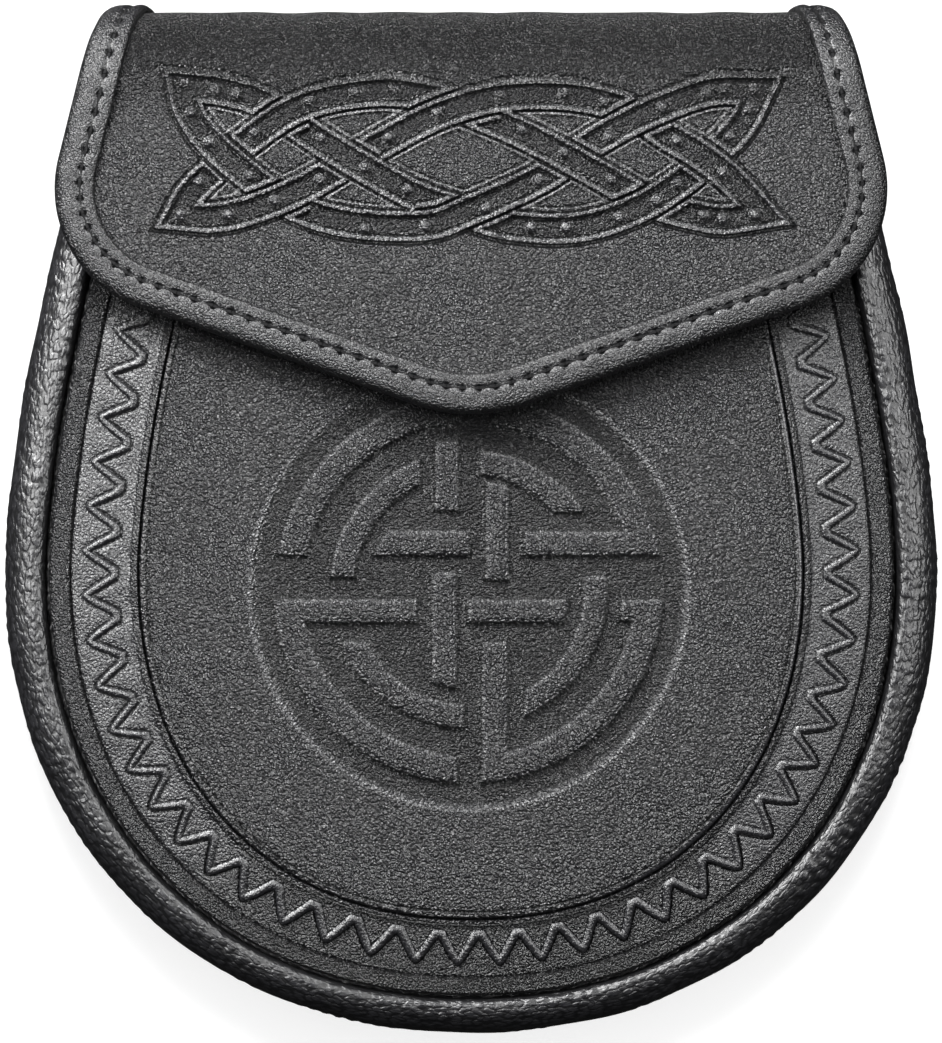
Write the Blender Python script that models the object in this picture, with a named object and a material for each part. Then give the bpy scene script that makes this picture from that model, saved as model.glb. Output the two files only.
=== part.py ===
"""Sporran pouch: the leather pouch of a day sporran, closed and lying on its back.

X runs across the pouch, +Y up its front to the fold of the flap, and +Z straight out of its
front. The origin is under the middle of the pouch, on the surface that it lies on: the bottom
of the gusset and the two belt loops touch that surface. Sizes are in millimetres here, and
solid() turns them into metres.

Pieces: front_panel, gusset, back_panel, flap, flap_binding, belt_loop_left, belt_loop_right
and snap_stud.
"""
import math

import bmesh
import bpy
import numpy as np
from mathutils import Vector, geometry

METRES = 0.001
SHARP_ANGLE = math.radians(30.0)

# The pouch's outline, seen from the front: a superellipse below its widest level, and sides
# that draw in towards the mouth above it.
HALF_WIDTH = 93.3
WIDEST_Y = -10.4
DEPTH_BELOW_WIDEST = 92.6
LOWER_ROUNDNESS = 2.13
SIDE_DRAW_IN = 10.6
SIDE_RISE = 67.0
SIDE_CURVE = 1.6
STATIONS = 54
BOTTOM_SQUEEZE = 0.15          # rings round the edge are this much narrower at the bottom

# Levels and walls.
FRONT_CREST_Z = 34.0           # top of the gusset's rolled front edge
PANEL_BELOW_CREST = 1.0        # the panels' faces lie this far inside the gusset's rolled edges
PANEL_WALL = 2.5
GUSSET_WALL = 1.6
FLAP_WALL = 2.2
BINDING_WALL = 1.1
GAP = 0.3                      # air between pieces that touch

# Front panel: distances in from the outline, and the relief of its tooled rings.
PANEL_INSET = 9.6
PANEL_TOP_Y = 74.0
BACK_TOP_Y = 85.0
DOME_RISE = 4.0
DOME_WIDTH = 60.0
DOME_RINGS = (34.0, 42.0)      # where the field gets points to bend on, outside
INNER_RINGS = (22.0, 38.0, 58.0)  # the same on the panel's inner face
BAND_OUTER = (13.4, 13.9)      # step down from the plain margin to the zigzag band
BAND_INNER = (25.6, 27.2)      # bevel up from the band to the field
BAND_SUNK = 0.5
FIELD_RISE = 0.4
ZIGZAG_MIDDLE = 19.6
ZIGZAG_REACH = 2.7
ZIGZAG_PITCH = 8.5
ZIGZAG_HALF_WIDTH = 0.8
ZIGZAG_RISE = 0.6

# Medallion: a round recess with the bars of a four-quartered circle knot standing in it.
MEDALLION_X = -0.5
MEDALLION_Y = -14.2
MEDALLION_RADIUS = 43.8
MEDALLION_SLOPE = 1.6
MEDALLION_SUNK = 0.5
BAR_RISE = 0.9
BAR_BEVEL = 0.7
OUTER_ARC = (33.0, 38.8)
INNER_ARC = (22.8, 27.8)

# Gusset section from the flange under the front panel, over the rolled edge, to the side:
# distance in from the outline, and distance below the crest. The back half mirrors it.
#           in    below
ROLL = ((17.0, PANEL_BELOW_CREST + PANEL_WALL + GAP),
        (9.2, PANEL_BELOW_CREST + PANEL_WALL + GAP),
        (8.0, 1.5),
        (5.6, 0.0),
        (2.6, 0.7),
        (0.6, 3.2),
        (0.0, 7.0))
SIDE_PINCH = 1.4
MOUTH_Y = 80.0

# Back: it leans on the belt loops, so that the front lies level.
BACK_SLOPE = 9.0 / 183.0
REST_Y = WIDEST_Y - DEPTH_BELOW_WIDEST + ROLL[3][0] * (1.0 - BOTTOM_SQUEEZE)

# Flap, drawn flat: x across, and s along its middle surface, which equals y on its flat front.
FLAP_TOP_Y = 101.6             # the fold's outer face
FLAP_CLEAR = 2.8               # middle surface above the gusset's crest
FLAP_CROWN = 4.0
CROWN_FADE = 38.0              # the crown dies out over this much of the flap before the fold
FLAP_HALF_WIDTH = 82.9
CORNER_RADIUS = 25.0
CORNER_Y = 65.6
POINT_SLOPE = math.radians(19.5)
POINT_RADIUS = 34.0
POINT_Y = 20.6
SIDE_LEAN = math.radians(14.0)
TAIL_LENGTH = 24.0             # stretch of the flap that is sewn to the back
TAIL_HALF_WIDTH = 62.0
TAIL_CORNER = 9.0
BINDING_WIDTH = 8.0
BINDING_END_TURN = math.radians(148.0)
FOLD_ROWS = 11

# Flap's plait of four strands: way points of each strand's middle line, x and y.
KNOT_HALF_WIDTH = 2.9
KNOT_BEVEL = 0.6
KNOT_RISE = 0.45
KNOT_STEP = 4.5
TIP_LENGTH = 7.0               # stretch over which a strand narrows to its end
STRANDS = {
    "low_left_to_low_right": ((-61.5, 58.4), (-57.7, 64.4), (-51.3, 68.8), (-44.9, 74.4),
                              (-33.9, 81.6), (-20.1, 84.6), (-8.1, 83.6), (1.9, 79.8),
                              (11.9, 75.4), (25.9, 67.8), (34.5, 63.0), (45.9, 60.0),
                              (58.3, 58.8), (61.5, 58.0)),
    "low_left_over_top": ((-61.5, 58.4), (-56.1, 59.8), (-45.1, 60.8), (-34.1, 65.0),
                          (-25.1, 70.0), (-17.1, 74.6), (-6.1, 80.2), (5.9, 83.6),
                          (19.9, 83.8), (30.9, 81.0), (39.5, 75.0), (50.3, 66.8),
                          (58.9, 59.6), (61.5, 58.0)),
    "high_left_across": ((-60.5, 88.0), (-53.1, 86.0), (-41.7, 82.6), (-33.5, 77.2),
                         (-24.1, 71.2), (-11.1, 64.0), (-1.7, 60.8), (7.9, 58.0),
                         (20.9, 57.6), (32.3, 61.0), (41.9, 66.8), (49.5, 73.6),
                         (55.9, 81.6), (61.1, 87.2)),
    "high_left_under": ((-60.5, 88.0), (-56.1, 81.2), (-49.7, 72.4), (-41.7, 66.2),
                        (-33.5, 61.2), (-23.1, 58.4), (-9.1, 58.0), (-1.1, 60.6),
                        (13.9, 67.4), (22.9, 73.6), (31.9, 78.8), (42.9, 83.4),
                        (54.9, 85.6), (61.1, 87.2)),
}
# Crossings from left to right: the strand on top, the one below it, and the range of x.
CROSSINGS = (
    ("low_left_over_top", "low_left_to_low_right", (-66.0, -55.0)),
    ("high_left_across", "high_left_under", (-66.0, -52.0)),
    ("high_left_under", "low_left_to_low_right", (-55.0, -42.0)),
    ("low_left_to_low_right", "high_left_across", (-46.0, -32.0)),
    ("low_left_over_top", "high_left_under", (-46.0, -32.0)),
    ("high_left_across", "low_left_over_top", (-31.0, -18.0)),
    ("low_left_over_top", "low_left_to_low_right", (-13.0, 6.0)),
    ("high_left_under", "high_left_across", (-11.0, 8.0)),
    ("low_left_to_low_right", "high_left_under", (9.0, 27.0)),
    ("high_left_under", "low_left_over_top", (22.0, 40.0)),
    ("high_left_across", "low_left_to_low_right", (25.0, 44.0)),
    ("low_left_over_top", "high_left_across", (38.0, 54.0)),
    ("low_left_over_top", "low_left_to_low_right", (50.0, 66.0)),
    ("high_left_under", "high_left_across", (52.0, 66.0)),
)

# Belt loops and press stud.
LOOP_X = 45.0
LOOP_WIDTH = 26.0
LOOP_WALL = 2.0
LOOP_FOOT = 9.0
LOOP_BOTTOM_Y = 3.0
LOOP_TOP_Y = 57.0
LOOP_RAMP = 7.0
STUD_Y = 37.0
STUD_RADIUS = 5.5
STUD_SIDES = 20

BLACK_LEATHER = (0.016, 0.016, 0.018)
GUNMETAL = (0.09, 0.09, 0.10)


def clear_scene():
    """Take out whatever the scene holds."""
    for old in list(bpy.data.objects):
        bpy.data.objects.remove(old, do_unlink=True)


def solid(name, points, faces, colour=BLACK_LEATHER, roughness=0.5, metallic=0.0):
    """Link one closed body, given in millimetres, with faces out and its own material."""
    mesh = bpy.data.meshes.new(name)
    mesh.from_pydata((np.asarray(points) * METRES).tolist(), [], faces)
    body = bmesh.new()
    body.from_mesh(mesh)
    bmesh.ops.recalc_face_normals(body, faces=body.faces)
    body.to_mesh(mesh)
    body.free()
    mesh.shade_smooth()
    mesh.set_sharp_from_angle(angle=SHARP_ANGLE)
    material = bpy.data.materials.new(name)
    material.use_nodes = True
    shader = material.node_tree.nodes["Principled BSDF"]
    shader.inputs["Base Color"].default_value = (*colour, 1.0)
    shader.inputs["Roughness"].default_value = roughness
    shader.inputs["Metallic"].default_value = metallic
    mesh.materials.append(material)
    piece = bpy.data.objects.new(name, mesh)
    bpy.context.collection.objects.link(piece)
    return piece


def resample(points, count):
    """Evenly spaced points along a polyline."""
    steps = np.hypot(*np.diff(points, axis=0).T)
    along = np.concatenate([[0.0], np.cumsum(steps)])
    wanted = np.linspace(0.0, along[-1], count)
    return np.column_stack([np.interp(wanted, along, column) for column in points.T])


def normals_of(points):
    """Unit normals on the right-hand side of a line that is followed from its first point."""
    run = np.gradient(points, axis=0)
    run /= np.linalg.norm(run, axis=1)[:, None]
    return np.column_stack([run[:, 1], -run[:, 0]])


def body_outline(top_y, count=STATIONS):
    """Outline points and outward normals, from the left end at top_y, round the bottom."""
    side_y = np.linspace(top_y, WIDEST_Y, 120)
    side_x = HALF_WIDTH - SIDE_DRAW_IN * ((side_y - WIDEST_Y) / SIDE_RISE) ** SIDE_CURVE
    turn = np.linspace(0.0, math.pi / 2, 240)[1:]
    low_x = HALF_WIDTH * np.abs(np.cos(turn)) ** (2.0 / LOWER_ROUNDNESS)
    low_y = WIDEST_Y - DEPTH_BELOW_WIDEST * np.sin(turn) ** (2.0 / LOWER_ROUNDNESS)
    right = np.column_stack([np.concatenate([side_x, low_x]), np.concatenate([side_y, low_y])])
    left = right * (-1.0, 1.0)
    whole = np.concatenate([left, right[-2::-1]])
    points = resample(whole, count)
    return points, normals_of(points)


def inset(outline, distance):
    """The outline moved inwards, a little less at the bottom than at the sides."""
    points, normals = outline
    squeeze = 1.0 - BOTTOM_SQUEEZE * np.clip(-normals[:, 1], 0.0, 1.0) ** 2
    return points - normals * (distance * squeeze)[:, None]


def back_z(y):
    """Height of the gusset's back crest, which leans up towards the mouth."""
    return BACK_SLOPE * (y - REST_Y)


def fill(outline, edge_levels, lines):
    """Triangles inside a closed outline that keep every line as edges.

    lines holds (points, level, closed) for each. Returns the points, their levels, the
    triangles, and where each point of the outline went.
    """
    points = [tuple(point) for point in outline]
    levels = list(edge_levels)
    rim = len(points)
    edges = [(i, (i + 1) % rim) for i in range(rim)]
    for line, level, closed in lines:
        first = len(points)
        points.extend(tuple(point) for point in line)
        levels.extend([level] * len(line))
        edges.extend((i, i + 1) for i in range(first, len(points) - 1))
        if closed:
            edges.append((len(points) - 1, first))
    corners = [Vector(point) for point in points]
    inside_only = 1
    merge_distance = 1e-3
    placed, _, faces, sources = geometry.delaunay_2d_cdt(
        corners, edges, [list(range(rim))], inside_only, merge_distance)[:4]
    placed_levels = [levels[source[0]] if source else 0.0 for source in sources]
    found = {one: index for index, source in enumerate(sources) for one in source}
    return np.array(placed), np.array(placed_levels), faces, [found[i] for i in range(rim)]


def sheet(outline, edge_levels, outer_lines, inner_lines, outer_place, inner_place):
    """A closed wall: a tooled outer face and a plain inner one, joined round the rim."""
    xy, levels, outer_faces, outer_rim = fill(outline, edge_levels, outer_lines)
    inner_xy, _, inner_faces, inner_rim = fill(outline, [0.0] * len(outline), inner_lines)
    outer = outer_place(xy, levels)
    inner = inner_place(inner_xy)
    start = len(outer)
    faces = [tuple(face) for face in outer_faces]
    faces += [tuple(start + i for i in reversed(face)) for face in inner_faces]
    count = len(outline)
    for i in range(count):
        after = (i + 1) % count
        faces.append((outer_rim[after], outer_rim[i], start + inner_rim[i],
                      start + inner_rim[after]))
    return np.concatenate([outer, inner]), faces


def tube(rings):
    """Points and faces of a closed section carried through rings, with both ends capped."""
    stations, section = rings.shape[:2]
    faces = [tuple(range(section - 1, -1, -1)),
             tuple((stations - 1) * section + i for i in range(section))]
    for ring in range(stations - 1):
        low = ring * section
        for i in range(section):
            after = (i + 1) % section
            faces.append((low + i, low + after, low + section + after, low + section + i))
    return rings.reshape(-1, 3), faces


def offset_line(points, distance):
    """A polyline moved to its right-hand side, with mitred corners."""
    runs = np.diff(points, axis=0)
    runs /= np.linalg.norm(runs, axis=1)[:, None]
    sides = np.column_stack([runs[:, 1], -runs[:, 0]])
    before = np.concatenate([sides[:1], sides])
    after = np.concatenate([sides, sides[-1:]])
    mitre = before + after
    mitre /= (mitre * after).sum(axis=1)[:, None]
    return points + mitre * distance


def arc(radius, start, end, step=math.radians(11.0)):
    """Points on a circle about the origin, from one angle to another, in radians."""
    count = max(2, math.ceil(abs(end - start) / step) + 1)
    turn = np.linspace(start, end, count)
    return [(radius * math.cos(t), radius * math.sin(t)) for t in turn]


def angle_at(radius, x=None, y=None, side=1):
    """Angle where a circle meets a line of constant x (side: above 1, below -1) or y."""
    if x is not None:
        return math.atan2(side * math.sqrt(radius ** 2 - x ** 2), x)
    return math.atan2(y, side * math.sqrt(radius ** 2 - y ** 2)) % (2.0 * math.pi)


# ------------------------------------------------------------------ front panel

def dome(xy):
    """Rise of the panel's face from its edge to its middle."""
    edge = body_outline(FLAP_TOP_Y, 400)[0]
    apart = np.linalg.norm(xy[:, None, :] - edge[None, :, :], axis=2).min(axis=1)
    share = np.clip((apart - PANEL_INSET) / DOME_WIDTH, 0.0, 1.0)
    return DOME_RISE * (1.0 - (1.0 - share) ** 2)


def zigzag_lines(outline):
    """Crest and feet of the raised zigzag, as (points, level, closed)."""
    middle = inset(outline, ZIGZAG_MIDDLE)
    length = np.hypot(*np.diff(middle, axis=0).T).sum()
    teeth = 2 * round(length / ZIGZAG_PITCH)
    corners = resample(middle, teeth + 1)
    out = normals_of(corners)
    swing = np.where(np.arange(teeth + 1) % 2, ZIGZAG_REACH, -ZIGZAG_REACH)
    crest = (corners + out * swing[:, None])[1:-1]
    return [(crest, -BAND_SUNK + ZIGZAG_RISE, False),
            (offset_line(crest, ZIGZAG_HALF_WIDTH), -BAND_SUNK, False),
            (offset_line(crest, -ZIGZAG_HALF_WIDTH), -BAND_SUNK, False)]


def knot_bars():
    """Outlines of the medallion's raised bars, about its centre, anticlockwise.

    An arc ends where its circle meets the line of x or y that is given for it.
    """
    inner, outer = OUTER_ARC
    low, high = INNER_ARC
    inner_middle = (low + high) / 2.0
    top_left = (arc(outer, angle_at(outer, x=-3.0), angle_at(outer, y=6.6, side=-1))
                + arc(inner, angle_at(inner, y=6.6, side=-1), angle_at(inner, x=-3.0)))
    top_right = (arc(outer, angle_at(outer, y=6.6), angle_at(outer, x=4.0))
                 + arc(inner, angle_at(inner, x=4.0), angle_at(inner, y=11.8))
                 + [(10.8, 11.8), (10.8, 6.6)])
    low_left = (arc(outer, angle_at(outer, y=-1.8, side=-1), angle_at(outer, x=-2.2, side=-1)
                    + 2.0 * math.pi)
                + arc(inner, angle_at(inner, x=-2.2, side=-1) + 2.0 * math.pi,
                      angle_at(inner, y=-6.8, side=-1))
                + [(-10.0, -6.8), (-10.0, -1.8)])
    low_right = (arc(outer, angle_at(outer, x=2.8, side=-1), angle_at(outer, y=-1.8)
                     - 2.0 * math.pi)
                 + arc(inner, angle_at(inner, y=-1.8) - 2.0 * math.pi,
                       angle_at(inner, x=8.0, side=-1))
                 + [(8.0, -10.4), (2.8, -10.4)])
    turn = 2.0 * math.pi
    quarters = (
        (angle_at(inner_middle, x=-9.6), angle_at(inner_middle, y=1.8, side=-1)),
        (angle_at(inner_middle, y=15.0), angle_at(inner_middle, x=2.0)),
        (angle_at(inner_middle, x=11.2, side=-1), angle_at(inner_middle, y=2.8)),
        (angle_at(inner_middle, y=-10.4, side=-1), angle_at(inner_middle, x=-1.0, side=-1) + turn),
    )
    rings = [arc(high, start, end) + arc(low, end, start) for start, end in quarters]
    #            left   right  bottom  top
    straight = ((-6.8, -2.0, 15.4, 29.8),
                (-7.4, -2.2, -18.2, 3.6),
                (3.0, 8.0, 1.8, 21.4),
                (-18.8, 0.4, 6.6, 11.8),
                (-0.2, 20.0, -6.8, -1.8))
    bars = [[(left, bottom), (right, bottom), (right, top), (left, top)]
            for left, right, bottom, top in straight]
    return [np.array(bar) for bar in [top_left, top_right, low_left, low_right, *rings, *bars]]


def shrink(polygon, distance):
    """A closed anticlockwise outline moved inwards by the same distance all round."""
    closed = np.concatenate([polygon[-1:], polygon, polygon[:1]])
    return offset_line(closed, -distance)[1:-1]


def front_panel():
    """Domed front with a sunk zigzag band, a raised field and the knot medallion."""
    outline = body_outline(PANEL_TOP_Y)
    rings = [(PANEL_INSET, 0.0), (BAND_OUTER[0], 0.0), (BAND_OUTER[1], -BAND_SUNK),
             (BAND_INNER[0], -BAND_SUNK), (BAND_INNER[1], FIELD_RISE)]
    curves = [(inset(outline, distance), level) for distance, level in rings]
    right_ends = [curve[-1] for curve, _ in curves[1:]]
    left_ends = [curve[0] for curve, _ in reversed(curves[1:])]
    levels = [level for _, level in curves[1:]]
    across = np.linspace(right_ends[-1], left_ends[0], 6)[1:-1]
    edge = np.concatenate([curves[0][0], right_ends, across, left_ends])
    edge_levels = ([0.0] * STATIONS + levels + [FIELD_RISE] * len(across) + levels[::-1])

    lines = [(curve, level, False) for curve, level in curves[1:]]
    lines += zigzag_lines(outline)
    centre = np.array((MEDALLION_X, MEDALLION_Y))
    whole_turn = 2.0 * math.pi
    rim = np.array(arc(MEDALLION_RADIUS, 0.0, whole_turn, math.radians(8.0))[:-1])
    floor = rim * (1.0 - MEDALLION_SLOPE / MEDALLION_RADIUS)
    lines += [(centre + rim, FIELD_RISE, True), (centre + floor, -MEDALLION_SUNK, True)]
    for bar in knot_bars():
        lines += [(centre + bar, -MEDALLION_SUNK, True),
                  (centre + shrink(bar, BAR_BEVEL), BAR_RISE - MEDALLION_SUNK, True)]
    for distance in DOME_RINGS:
        stations = inset(outline, distance)[4:-4:3]
        lines += [(stations[i:i + 1], FIELD_RISE, False) for i in range(len(stations))
                  if np.linalg.norm(stations[i] - centre) > MEDALLION_RADIUS + DOME_RISE]

    face_z = FRONT_CREST_Z - PANEL_BELOW_CREST

    def outer_place(xy, levels):
        return np.column_stack([xy, face_z + dome(xy) + levels])

    def inner_place(xy):
        return np.column_stack([xy, face_z + dome(xy) - PANEL_WALL])

    inner_lines = [(inset(outline, distance)[3:-3:3], 0.0, False)
                   for distance in INNER_RINGS]
    points, faces = sheet(edge, edge_levels, lines, inner_lines, outer_place, inner_place)
    return solid("front_panel", points, faces)


# ------------------------------------------------------------------ gusset and back

def gusset():
    """Soft wall round the side and bottom, rolled proud of both panels, flanges inside."""
    outline = body_outline(MOUTH_Y)
    roll = np.array(ROLL) * (-1.0, -1.0)
    half_depth = np.array([[-SIDE_PINCH, 0.0]])
    crest_to_side = np.concatenate([roll, half_depth])
    reach = FRONT_CREST_Z / 2.0
    outer = crest_to_side + (0.0, reach)
    outer[-1, 1] = 0.0
    outer = np.concatenate([outer, (outer * (1.0, -1.0))[-2::-1]])
    wall = np.concatenate([outer, offset_line(outer, GUSSET_WALL)[::-1]])
    rings = []
    for distance, level in wall:
        xy = inset(outline, -distance)
        below_crest = reach - abs(level)
        front = FRONT_CREST_Z - below_crest
        back = back_z(xy[:, 1]) + below_crest
        middle = (FRONT_CREST_Z + back_z(xy[:, 1])) / 2.0
        if abs(level) < 1e-6:
            height = middle
        else:
            height = np.full(len(xy), front) if level > 0.0 else back
        rings.append(np.column_stack([xy, height]))
    points, faces = tube(np.stack(rings, axis=1))
    return solid("gusset", points, faces, roughness=0.42)


def back_panel():
    """Flat back, cut like the front but taller, parallel to the gusset's back edge."""
    outline = inset(body_outline(BACK_TOP_Y), PANEL_INSET)
    outer = np.column_stack([outline, back_z(outline[:, 1]) + PANEL_BELOW_CREST])
    inner = outer + (0.0, 0.0, PANEL_WALL)
    count = len(outline)
    faces = [tuple(range(count)), tuple(range(2 * count - 1, count - 1, -1))]
    faces += [(i, (i + 1) % count, count + (i + 1) % count, count + i) for i in range(count)]
    return solid("back_panel", np.concatenate([outer, inner]), faces, roughness=0.55)


# ------------------------------------------------------------------ flap

def fold_radius():
    """Radius of the fold's middle surface.

    It joins the flap's front to a tail that lies GAP outside the leaning back panel: the
    fold's centre is one radius from each, and the top of the fold is at FLAP_TOP_Y.
    """
    lean = math.cos(math.atan(BACK_SLOPE))
    front = FRONT_CREST_Z + FLAP_CLEAR
    top = FLAP_TOP_Y - FLAP_WALL / 2.0
    panel_at_top = PANEL_BELOW_CREST + BACK_SLOPE * (top - REST_Y)
    stand_off = GAP + FLAP_WALL / 2.0
    return ((front - panel_at_top) * lean + stand_off) / (1.0 + lean - BACK_SLOPE * lean)


FOLD_RADIUS = fold_radius()
FOLD_Y = FLAP_TOP_Y - FLAP_WALL / 2.0 - FOLD_RADIUS
FOLD_TURN = math.pi - math.atan(BACK_SLOPE)
FOLD_END_S = FOLD_Y + FOLD_RADIUS * FOLD_TURN
TAIL_END_S = FOLD_END_S + TAIL_LENGTH


def on_flap(xs, height):
    """Points of the folded flap for flat positions (x, s), height out of its middle surface."""
    x, s = xs[:, 0], xs[:, 1]
    turn = np.clip((s - FOLD_Y) / FOLD_RADIUS, 0.0, FOLD_TURN)
    before = np.minimum(s - FOLD_Y, 0.0)
    after = np.maximum(s - FOLD_END_S, 0.0)
    fade = np.clip((FOLD_Y + FOLD_RADIUS * math.pi / 2.0 - s) / CROWN_FADE, 0.0, 1.0)
    crown = FLAP_CROWN * (1.0 - (x / FLAP_HALF_WIDTH) ** 2) * fade * fade * (3.0 - 2.0 * fade)
    out_y, out_z = np.sin(turn), np.cos(turn)
    radius = FOLD_RADIUS + crown + height
    centre_z = FRONT_CREST_Z + FLAP_CLEAR - FOLD_RADIUS
    y = FOLD_Y + before + radius * out_y + after * math.cos(FOLD_TURN)
    z = centre_z + radius * out_z - after * math.sin(FOLD_TURN)
    return np.column_stack([x, y, z])


def bound_edge():
    """Flap's bound edge drawn flat, from the back of the fold at the left, round the point.

    Right half: a rounded point, a straight slope, a round corner and a leaning side.
    """
    corner = np.array((FLAP_HALF_WIDTH - CORNER_RADIUS, CORNER_Y))
    point_centre = np.array((0.0, POINT_Y + POINT_RADIUS))
    down = -math.pi / 2.0
    tip = point_centre + arc(POINT_RADIUS, down, down + POINT_SLOPE, math.radians(7.0))
    bend = corner + arc(CORNER_RADIUS, down + POINT_SLOPE, SIDE_LEAN)
    slope = np.linspace(tip[-1], bend[0], 4)[1:-1]
    end_s = FOLD_Y + FOLD_RADIUS * BINDING_END_TURN
    rows = [s for s in fold_rows() if s < end_s - 1.0] + [end_s]
    side_s = np.array([(bend[-1, 1] + rows[0]) / 2.0] + rows)
    side = np.column_stack([bend[-1, 0] - (side_s - bend[-1, 1]) * math.tan(SIDE_LEAN), side_s])
    right = np.concatenate([tip, slope, bend, side])
    left = right[:0:-1] * (-1.0, 1.0)
    points = np.concatenate([left, right])
    return points, normals_of(points)


def fold_rows():
    """Places along the flap of the rows of points that carry it round the fold."""
    return np.linspace(FOLD_Y, FOLD_END_S, FOLD_ROWS).tolist()


def smooth(points, step):
    """Catmull-Rom curve through way points, read about every step."""
    points = np.array(points)
    padded = np.concatenate([2 * points[:1] - points[1:2], points, 2 * points[-1:] - points[-2:-1]])
    curve = []
    for a, b, c, d in zip(padded, padded[1:], padded[2:], padded[3:]):
        for t in np.linspace(0.0, 1.0, 8, endpoint=False):
            curve.append(0.5 * (2 * b + (c - a) * t + (2 * a - 5 * b + 4 * c - d) * t * t
                                + (3 * b - a - 3 * c + d) * t ** 3))
    curve.append(points[-1])
    curve = np.array(curve)
    length = np.hypot(*np.diff(curve, axis=0).T).sum()
    return resample(curve, round(length / step) + 1)


def strand_stretches(name, half_width, clearance):
    """Closed outlines of one strand's visible stretches, cut where it dives under others."""
    middle = smooth(STRANDS[name], KNOT_STEP / 4.0)
    normals = normals_of(middle)
    along = np.linspace(0.0, 1.0, len(middle))
    to_end = np.minimum(along, 1.0 - along) * len(middle) * KNOT_STEP / 4.0
    taper = np.clip(to_end / TIP_LENGTH, 0.0, 1.0) * half_width
    sides = [middle + normals * side * taper[:, None] for side in (-1.0, 1.0)]
    covered = []
    for side in sides:
        hidden = to_end < 2.0 * clearance
        for top, under, (low_x, high_x) in CROSSINGS:
            if under != name:
                continue
            over = smooth(STRANDS[top], KNOT_STEP / 4.0)
            apart = np.linalg.norm(side[:, None, :] - over[None, :, :], axis=2).min(axis=1)
            here = (middle[:, 0] > low_x) & (middle[:, 0] < high_x)
            hidden |= here & (apart < KNOT_HALF_WIDTH + clearance)
        covered.append(hidden)
    runs = [open_runs(hidden) for hidden in covered]
    outlines = []
    for (start, end), (low, high) in zip(*runs):
        left = sides[0][start:end]
        right = sides[1][low:high]
        steps = max(2, round(len(left) / 4))
        outlines.append(np.concatenate([resample(left, steps), resample(right, steps)[::-1]]))
    return outlines


def open_runs(hidden):
    """First and past-last index of each run of at least four samples that isn't hidden."""
    shown = np.concatenate([[False], ~hidden, [False]]).astype(int)
    starts = np.flatnonzero(np.diff(shown) == 1)
    ends = np.flatnonzero(np.diff(shown) == -1)
    return [(start, end) for start, end in zip(starts, ends) if end - start > 3]


def flap():
    """Flap in one sheet: sewn tail, fold over the top, tooled front with a rounded point."""
    edge, out = bound_edge()
    bound = edge - out * (BINDING_WALL + GAP)
    rows = [s for s in fold_rows() if s > bound[-1, 1] + 1.0]
    side = np.column_stack([np.interp(rows, [bound[-1, 1], FOLD_END_S],
                                      [bound[-1, 0], TAIL_HALF_WIDTH]), rows])
    tail_centre = np.array((TAIL_HALF_WIDTH - TAIL_CORNER, TAIL_END_S - TAIL_CORNER))
    tail = tail_centre + arc(TAIL_CORNER, 0.0, math.pi / 2.0, math.radians(24.0))
    right = np.concatenate([side, tail])
    outline = np.concatenate([bound, right, right[::-1] * (-1.0, 1.0)])

    row_lines = []
    for s in fold_rows():
        near = 1.5 if s < bound[-1, 1] + 1.0 else 0.01      # bound points lie a little off the row
        ends = outline[np.abs(outline[:, 1] - s) < near]
        ends = ends[np.argsort(ends[:, 0])]
        row_lines.append((np.linspace(ends[0], ends[-1], 6), 0.0, False))
    plain_rows = [(np.column_stack([np.linspace(-half, half, 5), np.full(5, s)]), 0.0, False)
                  for half, s in ((60.0, 48.0), (70.0, 66.0))]
    knot = []
    for name in STRANDS:
        knot += [(shape, 0.0, True) for shape in strand_stretches(name, KNOT_HALF_WIDTH, GAP)]
        knot += [(shape, KNOT_RISE, True) for shape in
                 strand_stretches(name, KNOT_HALF_WIDTH - KNOT_BEVEL, GAP + KNOT_BEVEL)]

    def outer_place(xs, levels):
        return on_flap(xs, FLAP_WALL / 2.0 + levels)

    def inner_place(xs):
        return on_flap(xs, np.full(len(xs), -FLAP_WALL / 2.0))

    points, faces = sheet(outline, [0.0] * len(outline), row_lines[1:] + plain_rows[:1] + knot,
                          row_lines + plain_rows, outer_place, inner_place)
    return solid("flap", points, faces)


def flap_binding():
    """Strip folded over the flap's edge, from the back of the fold round to the back again."""
    edge, out = bound_edge()
    half = FLAP_WALL / 2.0 + GAP
    face = half + BINDING_WALL
    #               in             out of the middle surface
    skin = ((BINDING_WIDTH, half + 0.2),
            (BINDING_WIDTH - 0.7, face - 0.2),
            (BINDING_WIDTH - 3.4, face + 0.25),
            (1.8, face),
            (0.5, face - 0.7),
            (0.0, half - 0.4))
    pocket = ((BINDING_WALL + 0.05, half), (BINDING_WIDTH, half))
    skin = np.array(skin)
    pocket = np.array(pocket)
    mirrored = (1.0, -1.0)
    section = np.concatenate([skin, skin[::-1] * mirrored, pocket[::-1] * mirrored, pocket])
    rings = [on_flap(edge - out * distance, np.full(len(edge), height))
             for distance, height in section]
    points, faces = tube(np.stack(rings, axis=1))
    return solid("flap_binding", points, faces, roughness=0.42)


# ------------------------------------------------------------------ belt loops and stud

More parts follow.
